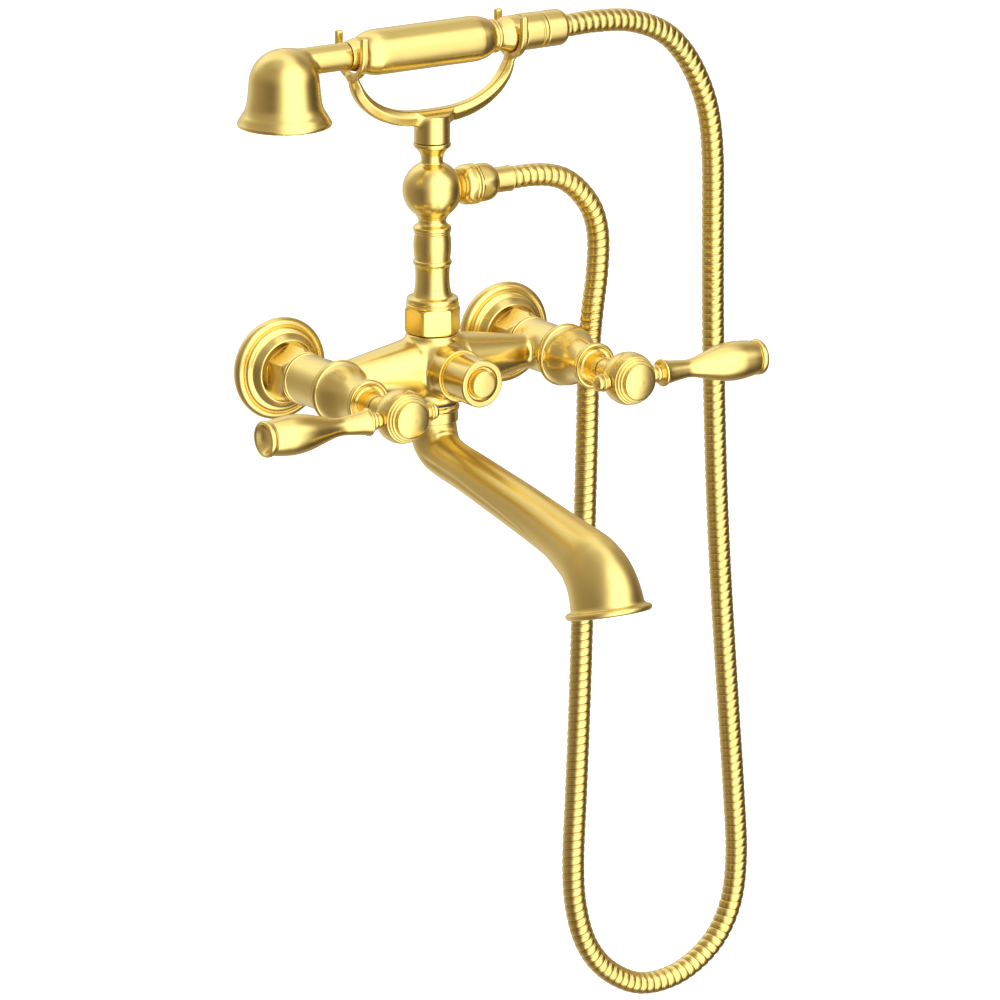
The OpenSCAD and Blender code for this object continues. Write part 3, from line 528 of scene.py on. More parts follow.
def casting_depth(x, y, z):
    """Distance to the casting: cones for the arms, cylinders for the hub, tubes and barrel."""
    out = y + BODY_OUT
    far = np.abs(x)
    round_arm = np.hypot(out, z)
    taper = np.clip((far - 20) / (INLET_X - 38), 0, 1)
    arms = (round_arm - (ARM_BIG + (ARM_SMALL - ARM_BIG) * taper)) * 0.985
    arms = np.maximum(arms, far - INLET_X)
    hub = blended_out(np.hypot(x, out) - HUB_R, np.maximum(z - 23.0, -24.0 - z), 1.6)
    barrel = np.maximum(np.hypot(x, z) - BARREL_R, np.maximum(-out - 35.0, out))
    tube = np.hypot(far - INLET_X, z) - TUBE_R
    tube = np.maximum(tube, np.maximum(-72.0 - y, y + 40.2))
    whole = blended(blended(arms, hub, 5.0), barrel, 5.0)
    return blended(whole, tube, 6.5)


cast_gold = metal("cast_satin_gold", GOLD_LIGHT, GOLD_DARK, 0.24, 0.2, turned=False,
                  stretch=(120, 1800, 1800))
CASTING_END = INLET_X + TUBE_R + 2
dress(skin("body_casting_skin", casting_depth, (-CASTING_END, -92, -26), (CASTING_END, -31, 26), 1.0),
      cast_gold, "satin_gold", "mixer", "body_casting")
for side, sign in (("left", -1), ("right", 1)):
    turned(f"tube_rim_{side}", [[0, 37.6], [17.0, 37.6], [17.3, 37.9], [17.3, 38.6], [16.4, 39.0],
                                [16.4, 39.6], [17.02, 40.0], [17.02, 41.2], [0, 41.2]],
           (sign * INLET_X, 0, 0), OUT, "mixer", edge=0.15)
    turned(f"tube_front_{side}", [[0, 68.0], [TUBE_R + 0.02, 68.0], [TUBE_R - 0.1, 69.5],
                                  [TUBE_R - 1.6, 72.5], [TUBE_R - 2.2, 76.2], [0, 76.2]],
           (sign * INLET_X, 0, 0), OUT, "mixer")

# ---------------------------------------------------------------- valve bells and bonnets
# Turned brass covers of the two ceramic valves: a round bead, an S-shaped bell down to a waist,
# then a flared bonnet that hollows down to the spindle. They are screwed on the valve tubes.
bell_outline = (
    [[0, 76.2], [19, 76.2]] + arc(18.7, 79.2, 2.8, -70, 70, 8)
    + [[19.4, 82.4], [20.2, 83], [20.3, 84.6], [19.6, 87.6], [18.1, 91], [16.4, 94.5], [15, 98],
       [14.1, 101.5], [13.5, 105.5], [13.3, 109], [13.5, 111.4], [0, 111.4]])
bonnet_outline = (
    [[0, 112], [14.6, 112]] + arc(14.4, 113.3, 1.3, -80, 40, 5) + arc(14.3, 115.9, 1.4, -40, 80, 5)
    + [[13.3, 117.2], [12.3, 115.6], [10.8, 115], [9.4, 116], [8.5, 118.4], [8, 122], [7.6, 126.4],
       [0, 126.4]])
for side, sign in (("left", -1), ("right", 1)):
    turned(f"bell_{side}", bell_outline, (sign * INLET_X, 0, 0), OUT, "mixer",
           f"valve_bell_{side}", f"cartridge_{side}", around=144, edge=0.2)
    turned(f"bonnet_cover_{side}", bonnet_outline, (sign * INLET_X, 0, 0), OUT, "mixer",
           f"bonnet_{side}", edge=0.2)

# ---------------------------------------------------------------- handles
# Each handle is a turned brass ball on the spindle, with stepped rings and a domed cap in front,
# a lever screwed into one side and a small finial into the other.
HANDLE_Y = -156.0
BALL_R, LEVER_L, LEVER_R = 18.0, 107.0, 13.3
ball_outline = (
    [[0, -29], [7.3, -29], [7.6, -26], [7.1, -20]] + arc(0, 0, BALL_R, -65, 25, 22)
    + [[15.5, 7.7], [15.5, 9.1], [15.1, 9.5], [14.2, 9.6], [14.2, 10.8], [13.8, 11.2],
       [13, 11.3], [13, 12], [0, 12]])
cap_outline = [[0, 12.1], [12.3, 12.1], [12.5, 12.8], [12.3, 13.8], [11.6, 14.3], [9, 14.9],
               [5, 15.5], [0, 15.8]]
lever_outline = (
    [[0, 12], [4.1, 12], [4.1, 18.05], [5.2, 18.05], [5.4, 19.2], [4.9, 20.2]]
    + arc(4.2, 22.3, 2, -60, 60, 8)
    + [[4.9, 24.6], [5.2, 25.2], [7.9, 25.5], [9.1, 25.9], [9.4, 26.7], [9.2, 27.5], [8.6, 28.1],
       [8.2, 29.6], [7.7, 32.5], [7.1, 37], [6.5, 42], [6.1, 47], [6.6, 52], [7.7, 57], [9.1, 62],
       [LEVER_R - 2.8, 67], [LEVER_R - 1.5, 72], [LEVER_R - 0.6, 77], [LEVER_R - 0.1, 82],
       [LEVER_R, 87], [LEVER_R - 0.4, 92], [LEVER_R - 1, 97], [LEVER_R - 1.8, 101.4],
       [10.8, LEVER_L - 4.9], [11.6, LEVER_L - 4.4], [12.1, LEVER_L - 3.4], [12.1, LEVER_L - 1.3],
       [11.6, LEVER_L - 0.3], [10.8, LEVER_L], [9.8, LEVER_L - 0.5], [8.6, LEVER_L - 2],
       [6.6, LEVER_L - 4.2], [3.6, LEVER_L - 5.6], [0, LEVER_L - 6]])
finial_outline = [[0, 12], [3.1, 12], [3.1, 18.05], [5.4, 18.05], [5.4, 19.6], [4.6, 20.2],
                  [5.9, 20.8], [6.2, 21.6], [5.9, 22.4], [5, 22.8], [5.4, 23.4], [5.5, 24.6],
                  [5, 26], [3.6, 27], [1.8, 27.5], [0, 27.6]]
for side, sign in (("left", -1), ("right", 1)):
    centre, body = (sign * INLET_X, HANDLE_Y, 0), f"{side}_handle"
    turned(f"ball_{side}", ball_outline, centre, OUT, body, f"handle_ball_{side}", around=128,
           edge=0.12)
    turned(f"cap_{side}", cap_outline, centre, OUT, body, f"handle_cap_{side}", edge=0.25)
    turned(f"lever_handle_{side}", lever_outline, centre, (sign, 0, 0), body, f"lever_{side}",
           around=128, edge=0.2)
    turned(f"finial_knob_{side}", finial_outline, centre, (-sign, 0, 0), body, f"finial_{side}",
           around=80, edge=0.15, fine=0.4)

# ---------------------------------------------------------------- diverter
# A turned brass cap on the barrel with a sprung button in its recess: pushed in, it sends the
# water up the riser to the handset.
turned("diverter_sleeve", [[12.4, 30], [12.4, 35.5], [15.3, 35.5], [15.9, 35.9], [16.2, 60.4],
                           [15.4, 61.4], [12.2, 61.4], [11.4, 60.6], [11.4, 58.6], [9.55, 58.6],
                           [9.55, 47], [9.55, 30]],
       (0, -BODY_OUT, 0), OUT, "mixer", "diverter_cap", edge=0.3)
turned("diverter_knob", [[0, 52.5], [9.4, 52.5], [9.4, 63.6], [8.9, 64.6], [7, 65.2], [0, 65.4]],
       (0, -BODY_OUT, 0), OUT, "diverter", "diverter_button", edge=0.4)


def coil(turns, radius, wire, start, end):
    """Round wire wound about the diverter's axis: its middle goes round a circle while its
    distance in front of the body grows evenly from start to end."""
    share = np.linspace(0, 1, turns * 24 + 1)
    angle = 2 * np.pi * turns * share
    middle = np.stack([radius * np.cos(angle), -BODY_OUT - start - (end - start) * share,
                       radius * np.sin(angle)], 1)
    ahead = np.gradient(middle, axis=0)
    ahead /= np.linalg.norm(ahead, axis=1)[:, None]
    one = np.cross(ahead, [0, 1.0, 0])
    one /= np.linalg.norm(one, axis=1)[:, None]
    two = np.cross(ahead, one)
    section = np.linspace(0, 2 * np.pi, 10, endpoint=False)
    ring = (middle[:, None] + one[:, None] * (wire * np.cos(section))[:, None]
            + two[:, None] * (wire * np.sin(section))[:, None])
    ends = [np.repeat(middle[i][None, None], 10, 1) for i in (0, -1)]
    return np.concatenate([ends[0], ring, ends[1]])


spring_wire = metal("spring_wire", (0.66, 0.66, 0.67), (0.56, 0.56, 0.57), 0.28, 0.2)
spring = closed_surface("diverter_return_spring", coil(5, 4.4, 0.6, 31.2, 51.8))
dress(spring, spring_wire, "bright_steel", "mixer", "diverter_spring")
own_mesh(spring)
turned("barrel_ring", [[0, 34.2], [BARREL_R - 0.4, 34.2], [BARREL_R + 0.02, 34.5],
                       [BARREL_R - 0.1, 35.1], [BARREL_R - 0.8, 35.4], [0, 35.4]],
       (0, -BODY_OUT, 0), OUT, "mixer", edge=0.12)

# ---------------------------------------------------------------- spout
# Cast brass swivel spout: an elbow under the hub, a long tapered run with a crease along each
# side, and a bell-shaped outlet with a rolled lip. It turns on O-rings inside the hub.
SPOUT_REACH, SPOUT_DROP, LIP_R, OUTLET_TILT = 211.0, 119.0, 28.8, 15.0
SPOUT_LINE = [[0, -36.6], [0.2, -42], [1.4, -47.6], [3.8, -52.6], [7.6, -56.4], [12.4, -59],
              [18, -60.4], [30, -62.5], [50, -65], [76, -69], [106, -73.5], [136, -79],
              [160, -84.4], [174, -88.2], [187, -92.6], [193.2, -96.3], [198.8, -100.7],
              [203.5, -106], [207.3, -112], [210.1, -118.5]]
SPOUT_RADII = [15.9, 16, 15.9, 15.6, 15.3, 15, 14.8, 14.6, 14.8, 15.2, 15.5, 16.2, 17.6, 19,
               20.6, 21.5, 22.4, 23.2, 23.9, 24.6]
SPOUT_CROWN = [0, 0.2, 1.2, 2.2, 2.3, 1.4, 0.6, 0.1, 0, 0, 0, 0, 0.1, 0.6, 1.7, 3, 3.8, 3.7, 2.7, 0.9]
SPOUT_KEEL = [-0.5, -0.9, -1.2, -1.5, -1.6, -1.6, -1.6, -1.5, -1.4, -0.6, 0.7, 0.3, -1.4, -1.8,
              -1.7, -1.6, -1.4, -1.1, -0.7, -0.3]
CREASE_FROM_TOP = [[16, 84], [50, 86], [80, 92], [105, 98], [130, 104], [155, 116], [185, 130]]


def spout_grid(around=192):
    """Rings square to the spout's middle line. Each is a circle of the half width that stands
    higher by the crown at its top and by the keel at its bottom, in proportion to the squared
    cosine. A bell curve of the angle lifts the crease a little, and another one just below it
    cuts a hollow; both fade in after the elbow and out before the bell. The last ring leans
    to the outlet's tilt, then the wall rolls over the lip and runs up inside to a pole behind
    the aerator."""
    route = np.column_stack([SPOUT_LINE, SPOUT_RADII, SPOUT_CROWN, SPOUT_KEEL])
    route = evenly(smooth_line(route, 6), 1.5)[0]
    middle = route[:, :2]
    size, crown, keel = (route[:, i:i + 1] for i in (2, 3, 4))
    ahead = np.gradient(middle, axis=0)
    ahead /= np.linalg.norm(ahead, axis=1)[:, None]
    tilt = math.radians(OUTLET_TILT)
    lean = np.clip((middle[:, 0] - 203) / 7, 0, 1)[:, None]
    ahead = ahead * (1 - lean) + np.array([math.sin(tilt), -math.cos(tilt)]) * lean
    ahead /= np.linalg.norm(ahead, axis=1)[:, None]
    top = np.stack([-ahead[:, 1], ahead[:, 0]], 1)
    angle = np.linspace(0, 2 * np.pi, around, endpoint=False)
    from_top = np.degrees(np.arccos(np.cos(angle)))
    crease = np.interp(middle[:, 0], *np.array(CREASE_FROM_TOP).T)[:, None]
    far = middle[:, :1]
    fade = np.clip((far - 6) / 22, 0, 1) * np.clip((182 - far) / 50, 0, 1)
    past = from_top[None] - crease
    cut = 1.5 * np.exp(-((past - 12) / 9) ** 2) + 0.5 * np.exp(-((past - 24) / 12) ** 2)
    cut = fade * (cut - 0.55 * np.exp(-((past + 1) / 4.5) ** 2))
    rise = np.where(np.cos(angle) > 0, crown, -keel) * np.cos(angle)
    up = np.cos(angle) * (size + rise) * (1 - cut / size)
    across = np.sin(angle) * size * (1 - cut / size)
    grid = np.stack([across, -BODY_OUT - (middle[:, :1] + top[:, :1] * up),
                     middle[:, 1:] + top[:, 1:] * up], -1)
    lip = np.array([[25.0, 1.2], [25.7, 0.5]] + arc(LIP_R - 2.2, -2, 2.2, 80, -80, 10)
                   + [[25.4, -4.3], [22.4, -4.1], [21.4, -3.4], [20.7, -2], [20.6, 2], [20.6, 8],
                      [0, 8]])
    lip = eased(lip, 0.25)
    ahead_out = np.array([math.sin(tilt), -math.cos(tilt)])
    top_out = np.array([math.cos(tilt), math.sin(tilt)])
    heart = np.array([SPOUT_REACH, -SPOUT_DROP]) - ahead_out * lip[:, 1:]
    up, across = lip[:, :1] * np.cos(angle), lip[:, :1] * np.sin(angle)
    end = np.stack([across, -BODY_OUT - (heart[:, :1] + top_out[0] * up),
                    heart[:, 1:] + top_out[1] * up], -1)
    pole = np.repeat(np.array([0, -BODY_OUT - middle[0, 0], middle[0, 1]])[None, None], around, 1)
    return np.concatenate([pole, grid[:-1], end])


spout_gold = metal("spout_satin_gold", GOLD_LIGHT, GOLD_DARK, 0.31, 0.2)
dress(closed_surface("spout_casting", spout_grid()), spout_gold, "satin_gold", "spout_body", "spout")
turned("spout_collar", [[0, -37.8], [16.7, -37.8], [17.2, -37.3], [17.2, -31.4]]
       + arc(15.9, -28.3, 2.3, -60, 60, 8) + [[16.6, -25.9], [16, -25.6], [0, -25.6]],
       (0, -BODY_OUT, 0), UP, "spout_body", edge=0.3)

# ---------------------------------------------------------------- riser
# A hexagonal nut pulls the riser on the body. The riser is one turned column: flange, waist,
# ring, urn, ring, neck, hollow ball and lip, with a boss on the ball's right for the hose.
turned("riser_union_nut", [[11, 23.6], [17.9, 23.6], [19.2, 25], [19.2, 39.4], [17.9, 41], [11, 41]],
       (0, -BODY_OUT, 0), UP, "mixer", "riser_nut", "riser_washer", around=192, edge=0.3,
       flats=(33.4, 38, 0, 60))
z = RISER_BALL_Z
riser_outline = (
    [[0, 40], [11, 40], [11, 41.2], [17.7, 41.2], [17.9, 43], [17.1, 43.6], [17.5, 44.2],
     [17.5, 46.2], [16.9, 47.4], [13.6, 48.2], [12.7, 50.5], [12, 54], [11.6, 58], [11.5, 62],
     [11.6, 66], [12, 69.4], [12.8, 70.4], [13.1, 71.6], [12.8, 72.8], [12, 73.4], [12.2, 75.5],
     [12.6, 79], [12.8, 83], [12.6, 87], [12.1, 90], [11.8, 91.4], [12.3, 92], [12.3, 93.2],
     [12.9, 93.8], [12.9, 95.4], [12.1, 96.4], [10.4, 97.4], [9.5, 99], [9.3, z - 21.4],
     [9.7, z - 19.4], [10.8, z - 17.6]] + arc(0, z, 20, -54, 67, 24)
    + [[7.4, z + 19.5], [7.4, z + 21.4], [7.9, z + 24], [9.2, z + 26.5], [11, z + 28.6],
       [12.4, z + 29.8], [12.7, z + 31], [12.4, z + 32.4], [0, z + 32.4]])
turned("riser_turning", riser_outline, (0, -BODY_OUT, 0), UP, "mixer", "riser_column", around=128,
       edge=0.25)
turned("riser_boss", [[0, 10], [14.4, 12.6], [12.6, 15.3], [11.3, 17], [10.4, 18.6], [9.9, 20.2],
                      [9.9, 21.0], [0, 21.0]],
       (0, -BODY_OUT, z), RIGHT, "mixer", edge=0.3)

# ---------------------------------------------------------------- hose connections
# A rounded hexagonal adaptor screwed into the ball, a domed hexagonal nut, and the ferrule that
# is crimped on the hose.
hose_at = (0, -BODY_OUT, z)
turned("adaptor_hexagon", [[0, 21.0], [10.8, 21.1], [12.4, 22.4], [13.5, 24.2], [14.2, 26.6],
                           [14.2, 29], [0, 29]],
       hose_at, RIGHT, "mixer", "hose_adaptor", around=168, edge=0.3, flats=(27.2, 18, 0, 60))
turned("adaptor_ring", [[0, 28.6], [13.6, 28.6], [13.9, 29.2], [13.9, 30.6], [13.5, 31.2], [0, 31.2]],
       hose_at, RIGHT, "mixer", edge=0.25)
turned("hose_union_nut", [[8.8, 31.5], [13.4, 31.5], [13.9, 32.2], [13.9, 36], [13.5, 40],
                          [12.6, 43.6], [11.4, 46], [10, 47.6], [8.8, 47.6]],
       hose_at, RIGHT, "mixer", "hose_nut", "hose_washer", around=168, edge=0.3,
       flats=(25.6, 18, 33.5, 60))
turned("hose_crimp", [[4.5, 45], [8.6, 45], [8.7, 60], [8.9, 60.4], [8.9, 61.6], [8.5, 62],
                      [4.5, 62]],
       hose_at, RIGHT, "mixer", "hose_ferrule", edge=0.2)

# ---------------------------------------------------------------- cradle
# One brass casting screwed on the riser: a socket, two curved arms with a ridge along each side,
# and two U-shaped forks with straight, flat-topped prongs.
FORK_X = 63.0
ARM_LINE = np.array([[0, 49], [10, 48.8], [21.2, 47.8], [31.4, 45.4], [41.5, 41.2], [50.5, 35.1],
                     [57, 27.9], [60.7, 20.7], [62.8, 15]])
ARM_HALF = np.array([[5.2, 5.6], [5.2, 5.6], [5.2, 5.6], [5.1, 5.6], [4.9, 5.6], [4.6, 5.8],
                     [4.2, 6.2], [3.5, 6.2], [2.1, 4]])
arm_route = smooth_line(np.column_stack([ARM_LINE[:, 0], HANDSET_Z - ARM_LINE[:, 1], ARM_HALF]), 6)


def arm_depth(x, y, z):
    """Distance to the arms. The nearest stretch of their middle line gives the offset across it;
    the half width there is fullest along a ridge a little above it and shrinks to the edges."""
    far = np.abs(x)
    best = np.full(far.shape, 1e9)
    offset, thick, wide = (np.zeros(far.shape) for _ in range(3))
    for a, b in zip(arm_route[:-1], arm_route[1:]):
        way = b[:2] - a[:2]
        long = way @ way
        t = np.clip(((far - a[0]) * way[0] + (z - a[1]) * way[1]) / long, 0, 1)
        dx, dz = far - a[0] - t * way[0], z - a[1] - t * way[1]
        gap = np.hypot(dx, dz)
        nearer = gap < best
        best = np.where(nearer, gap, best)
        side = np.sign(dz * way[0] - dx * way[1])
        offset = np.where(nearer, side * gap, offset)
        thick = np.where(nearer, a[2] + t * (b[2] - a[2]), thick)
        wide = np.where(nearer, a[3] + t * (b[3] - a[3]), wide)
    share = offset / thick
    above = share - 0.22
    fall = np.where(above > 0, 0.62, 0.50) * (np.hypot(above, 0.10) - 0.10)
    across = np.abs(y + BODY_OUT) - wide * (1 - fall)
    return blended_out(across, np.abs(offset) - thick, 1.4)


def cradle_depth(x, y, z):
    """Distance to the cradle: arms, socket and forks, softly joined."""
    out, far = y + BODY_OUT, np.abs(x)
    socket = np.maximum(np.hypot(x, out) - 12.1, np.maximum(153.75 - z, z - 172.5))
    socket = blended_out(socket, 153.75 - z, 0.8)
    height = z - (HANDSET_Z + 1.3)
    reach = np.abs(out)
    plate = np.where(height > 0, np.abs(reach - 15.8), np.abs(np.hypot(out, height) - 15.8)) - 2
    plate = blended_out(plate, height - 13, 1.6)
    fork = blended_out(plate, np.abs(far - FORK_X) - 2.5, 1.2)
    body = blended(arm_depth(x, y, z), fork, 4.0)
    slot = np.maximum(np.hypot(out, height) - 13.7, -(height + 30))
    body = np.maximum(body, -slot)
    return blended(body, socket, 4.5)


dress(skin("cradle_casting", cradle_depth, (-70, -75, 152), (70, -33, 237), 0.8),
      cast_gold, "satin_gold", "mixer", "cradle")

# ---------------------------------------------------------------- handset head
# The telephone handset's bell, cast with its hollow arm: a dome, a slightly tapered skirt and a
# flared rim. The white spray face sits up inside the bell.
BELL_X, BELL_R, RIM_R = -115.5, 23.6, 31.5
bell_side = np.array(
    [[0, -41], [RIM_R - 0.8, -41]] + arc(RIM_R - 1.7, -39.3, 1.7, -50, 50, 5)
    + smooth_line([[RIM_R - 1.5, -36.4], [BELL_R + 5.3, -34.2], [BELL_R + 3.6, -31.8],
                   [BELL_R + 2.2, -28.8], [BELL_R + 1.4, -25.4], [BELL_R + 0.7, -20],
                   [BELL_R + 0.3, -15.5]], 3).tolist() + arc(0, -13, BELL_R, 2, 90, 22))
bell_inside = np.array([[0, -44], [RIM_R - 3, -44], [RIM_R - 3, -38], [BELL_R + 1.2, -33],
                        [BELL_R + 0.7, -29.5], [0, -29.5]])


def outline_depth(outline, radius, height):
    """Signed distance to a closed outline in the plane of radius and height, which shuts along
    the axis: the least distance to its edges, negative where an odd number of edges lies
    outwards."""
    best = np.full(radius.shape, 1e9)
    odd = np.zeros(radius.shape, bool)
    for a, b in zip(outline[:-1], outline[1:]):
        way = b - a
        t = ((radius - a[0]) * way[0] + (height - a[1]) * way[1]) / max(way @ way, 1e-12)
        t = np.clip(t, 0, 1)
        best = np.minimum(best, np.hypot(radius - a[0] - t * way[0], height - a[1] - t * way[1]))
        if abs(way[1]) > 1e-12:
            spans = (a[1] > height) != (b[1] > height)
            odd ^= spans & (radius < a[0] + way[0] * (height - a[1]) / way[1])
    return np.where(odd, -best, best)


def head_depth(x, y, z):
    """Distance to the bell joined softly with its arm, less the hollow inside."""
    out, height = y + BODY_OUT, z - HANDSET_Z
    radius = np.hypot(x - BELL_X, out)
    bell = outline_depth(bell_side, radius, height)
    arm = np.maximum(np.hypot(out, height) - 9.25, np.maximum(x + 67.4, -(x - BELL_X)))
    hollow = outline_depth(bell_inside, radius, height)
    return blended_out(blended(bell, arm, 3.0), -hollow, 0.8)


dress(skin("handset_casting", head_depth, (-148.5, -87, 177), (-65, -21, 232), 0.85),
      metal("bell_satin_gold", GOLD_LIGHT, GOLD_DARK, 0.24, 0.22, turned=False,
            stretch=(120, 120, 1800)), "satin_gold", "handset", "handset_head")

# ---------------------------------------------------------------- handset grip and collars
# A barrel grip over the water pipe, with a turned collar at each end; the collars rest in the
# cradle's forks.
GRIP_R = 15.4
handset_at = (0, -BODY_OUT, HANDSET_Z)
turned("collar_front", [[6.1, -67], [9.5, -67], [9.8, -65.6], [10.5, -63.4], [11.1, -61.2],
                        [11.3, -59.4], [11, -58], [10, -57.1], [6.1, -57.1]],
       handset_at, RIGHT, "handset", "front_collar", edge=0.3)
turned("grip_barrel", [[6.1, -56.8], [GRIP_R - 4.6, -56.8], [GRIP_R - 3.2, -55.6],
                       [GRIP_R - 1.6, -52.6], [GRIP_R - 0.5, -48.6], [GRIP_R, -44], [GRIP_R, -30],
                       [GRIP_R, -10], [GRIP_R, 10], [GRIP_R, 30], [GRIP_R - 0.4, 35],
                       [GRIP_R - 1.4, 39.6], [GRIP_R - 3, 43.4], [GRIP_R - 4.4, 45.2],
                       [GRIP_R - 5, 45.6], [6.1, 45.6]],
       handset_at, RIGHT, "handset", "grip", around=128, edge=0.5)
turned("collar_rear", [[6.1, 45.8], [10.3, 45.8], [10.4, 47.2], [11.2, 47.6], [11.5, 48.6],
                       [11.2, 49.8], [10.2, 50.4], [10.4, 53], [11.2, 56], [12, 59], [12.2, 61],
                       [12.2, 68.8], [6.1, 68.8]],
       handset_at, RIGHT, "handset", "rear_collar", edge=0.25)

# ---------------------------------------------------------------- handset connector and swivel
# The connector is screwed on the handset's pipe; the hose's ferrule turns freely on it.
turned("connector_barrel", [[6.1, 69], [12.3, 69], [12.5, 69.8], [12.5, 82], [11.8, 82.5], [11.8, 83.2],
                            [12.5, 83.7], [12.5, 85.7], [12, 86.2], [6.1, 86.2]],
       handset_at, RIGHT, "handset", "handset_connector", edge=0.2)
turned("swivel_ferrule", [[4.5, 86.6], [12, 86.6], [12.4, 87.2], [12.4, 99.4], [12.1, 101.2],
                          [11.2, 102.8], [9.8, 103.7], [8.6, 104], [4.5, 104]],
       handset_at, RIGHT, "hose_end", "hose_swivel", edge=0.3)

# ---------------------------------------------------------------- inner and small pieces
# What is carried over from the frame as it is: the spray face, aerator, washers, O-rings,
# spindles, screws, stem and pipe.


def plain(name, colour, rough, metallic=0.0, grain=300.0):
    """Moulded or machined material: a faint mottle of the colour and roughness over the piece."""
    material = bpy.data.materials.new(name)
    material.use_nodes = True
    tree = material.node_tree
    shader = tree.nodes["Principled BSDF"]
    shader.inputs["Metallic"].default_value = metallic
    where = tree.nodes.new("ShaderNodeTexCoord")
    speck = noise(tree, where.outputs["Object"], grain, 3.0)
    ramp = tree.nodes.new("ShaderNodeValToRGB")
    ramp.color_ramp.elements[0].color = (*(0.86 * c for c in colour), 1)
    ramp.color_ramp.elements[1].color = (*colour, 1)
    tree.links.new(speck, ramp.inputs[0])
    tree.links.new(ramp.outputs[0], shader.inputs["Base Color"])
    tree.links.new(calc(tree, "MULTIPLY_ADD", speck, 0.12, rough - 0.06), shader.inputs["Roughness"])
    relief = tree.nodes.new("ShaderNodeBump")
    relief.inputs["Strength"].default_value = 0.04
    relief.inputs["Distance"].default_value = 0.0003
    tree.links.new(speck, relief.inputs["Height"])
    tree.links.new(relief.outputs[0], shader.inputs["Normal"])
    return material


small_finishes = {
    "rubber": plain("rubber", (0.03, 0.03, 0.03), 0.6),
    "black_plastic": plain("black_plastic", (0.05, 0.05, 0.05), 0.45),
    "white_plastic": plain("white_plastic", (0.80, 0.80, 0.78), 0.4),
    "bright_steel": plain("turned_steel", (0.62, 0.62, 0.63), 0.3, 1.0, 900.0),
    "plain_brass": plain("machined_brass", (0.72, 0.5, 0.2), 0.35, 1.0, 900.0),
    "satin_gold": cast_gold, "hose_gold": cast_gold}
slots = {entry["node"]: entry["material_slot"] for entry in frame["record"]["subparts"]}
for node, carried in frame["nodes"].items():
    carried.data.materials.clear()
    carried.data.materials.append(small_finishes[slots[node]])

# ---------------------------------------------------------------- studio
# A pale floor below the hose's loop, and soft light all round: a wide bright panel at the
# camera's right, dimmer ones at the left and above, and unlit gaps between them.
floor_mesh = bpy.data.meshes.new("studio_floor")
FLOOR_HEIGHT = -0.53
corners = [(x, y, FLOOR_HEIGHT) for x, y in ((-9, -7), (9, -7), (9, 14), (-9, 14))]
floor_mesh.from_pydata(corners, [], [(0, 1, 2, 3)])
floor = bpy.data.objects.new("studio_floor", floor_mesh)
bpy.context.collection.objects.link(floor)
floor_paint = bpy.data.materials.new("studio_floor")
floor_paint.use_nodes = True
floor_shader = floor_paint.node_tree.nodes["Principled BSDF"]
floor_shader.inputs["Base Color"].default_value = (0.86, 0.86, 0.86, 1)
floor_shader.inputs["Roughness"].default_value = 0.9
floor_shader.inputs["Emission Color"].default_value = (1, 1, 1, 1)
floor_shader.inputs["Emission Strength"].default_value = 0.55
floor_mesh.materials.append(floor_paint)
floor.visible_glossy = False

world = bpy.data.worlds.new("studio")
world.use_nodes = True
sky = world.node_tree
bpy.context.scene.world = world
direction = sky.nodes.new("ShaderNodeTexCoord").outputs["Generated"]
axes = sky.nodes.new("ShaderNodeSeparateXYZ")
sky.links.new(direction, axes.inputs[0])
TOWARDS, ACROSS = (-0.5505, -0.8348), (0.8348, -0.5505)
BRIGHTEST, FROM_BELOW, DIM_TINT = 2.5, 0.13, (1.0, 0.80, 0.62)


def leaning(pair):
    """Share of the direction along a level line."""
    east = calc(sky, "MULTIPLY", axes.outputs[0], pair[0])
    return calc(sky, "MULTIPLY_ADD", axes.outputs[1], pair[1], east)


def between(value, start, end):
    """0 before start and 1 after end, with a smooth change between them."""
    node = sky.nodes.new("ShaderNodeMapRange")
    node.interpolation_type = "SMOOTHSTEP"
    node.inputs["From Min"].default_value = start
    node.inputs["From Max"].default_value = end
    sky.links.new(value, node.inputs["Value"])
    return node.outputs[0]


def mixed(share, first, second):
    """Share 0 gives the first value, share 1 the second."""
    apart = calc(sky, "SUBTRACT", second, first)
    return calc(sky, "MULTIPLY_ADD", apart, share, first)


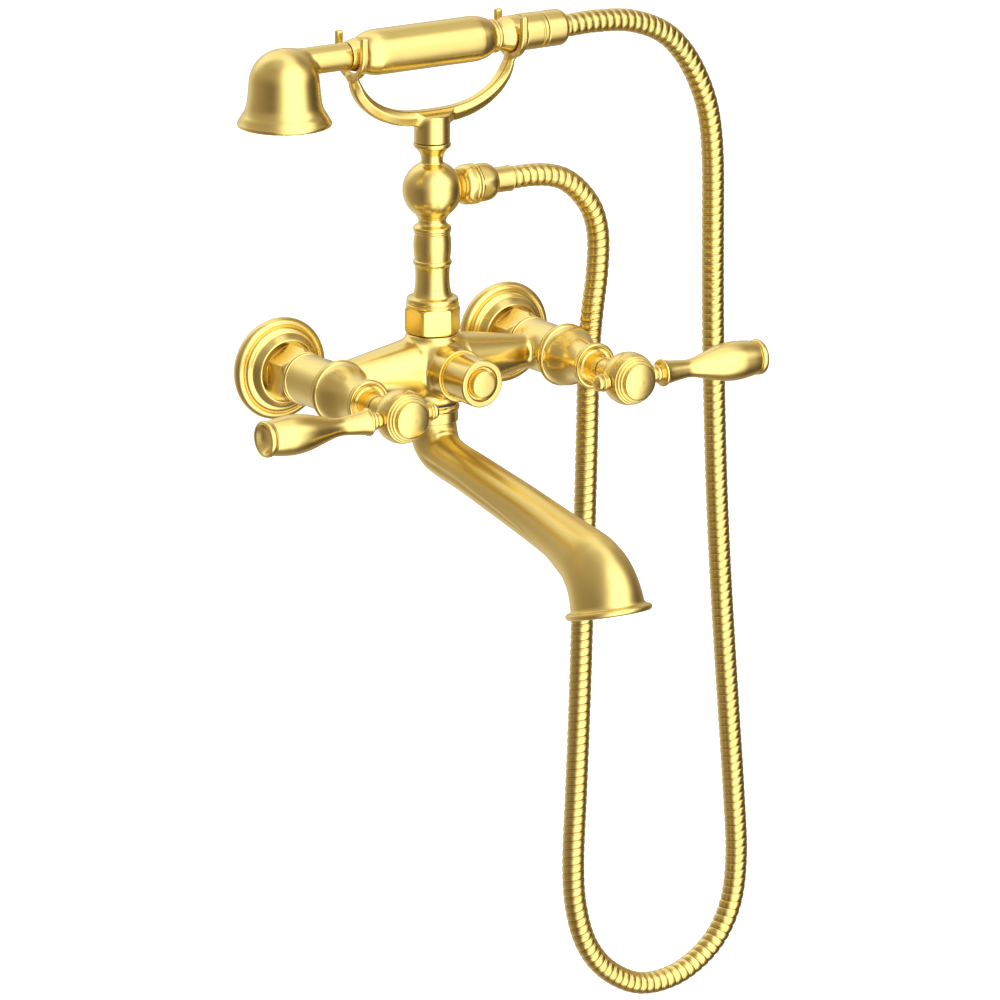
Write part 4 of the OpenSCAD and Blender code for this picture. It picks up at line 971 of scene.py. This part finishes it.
bearing = calc(sky, "MULTIPLY_ADD", calc(sky, "ARCTAN2", leaning(ACROSS), leaning(TOWARDS)),
               0.5 / math.pi, 0.5)
rise = calc(sky, "MULTIPLY", calc(sky, "ARCSINE", axes.outputs[2]), 180 / math.pi)
# Bearing from the camera in degrees, then brightness of the light there when it stands low,
# half way up and near the top.
LIGHT_ROUND = [(-180, 0.50, 1.00, 1.30), (-150, 0.80, 1.25, 1.20), (-129, 0.75, 1.30, 1.00),
               (-115, 0.52, 0.75, 0.80), (-98, 0.42, 0.55, 0.70), (-70, 0.32, 0.48, 0.70),
               (-38, 0.21, 0.45, 0.70), (-21, 0.36, 0.58, 0.75), (-10, 0.78, 0.95, 0.85),
               (0, 1.35, 1.35, 0.95), (11, 2.05, 2.05, 1.20), (56, 2.05, 2.05, 1.40),
               (69, 1.20, 1.90, 1.45), (83, 0.26, 1.50, 1.45), (98, 0.12, 0.50, 1.35),
               (120, 0.11, 0.35, 1.30), (143, 0.32, 0.45, 1.30), (180, 0.50, 1.00, 1.30)]
table = sky.nodes.new("ShaderNodeValToRGB")
stops = table.color_ramp.elements
for degrees, *levels in LIGHT_ROUND:
    stop = {-180: stops[0], 180: stops[-1]}.get(degrees) or stops.new(degrees / 360 + 0.5)
    stop.color = (*(level / BRIGHTEST for level in levels), 1)
sky.links.new(bearing, table.inputs[0])
levels = sky.nodes.new("ShaderNodeSeparateColor")
sky.links.new(table.outputs[0], levels.inputs[0])
light = mixed(between(rise, 0, 32), levels.outputs[0], levels.outputs[1])
light = mixed(between(rise, 48, 72), light, levels.outputs[2])
light = mixed(between(rise, -48, -76), light, FROM_BELOW)
light = calc(sky, "MULTIPLY", light, BRIGHTEST)
# The dimmer parts of the room are a little warmer than the lit panels.
warmth = between(light, 0.1, 1.1)
shade = sky.nodes.new("ShaderNodeCombineColor")
for socket, dim in zip(shade.inputs, DIM_TINT):
    sky.links.new(calc(sky, "MULTIPLY", light, mixed(warmth, dim, 1.0)), socket)
sky.links.new(shade.outputs[0], sky.nodes["Background"].inputs["Color"])
bpy.context.scene.view_settings.view_transform = "Standard"
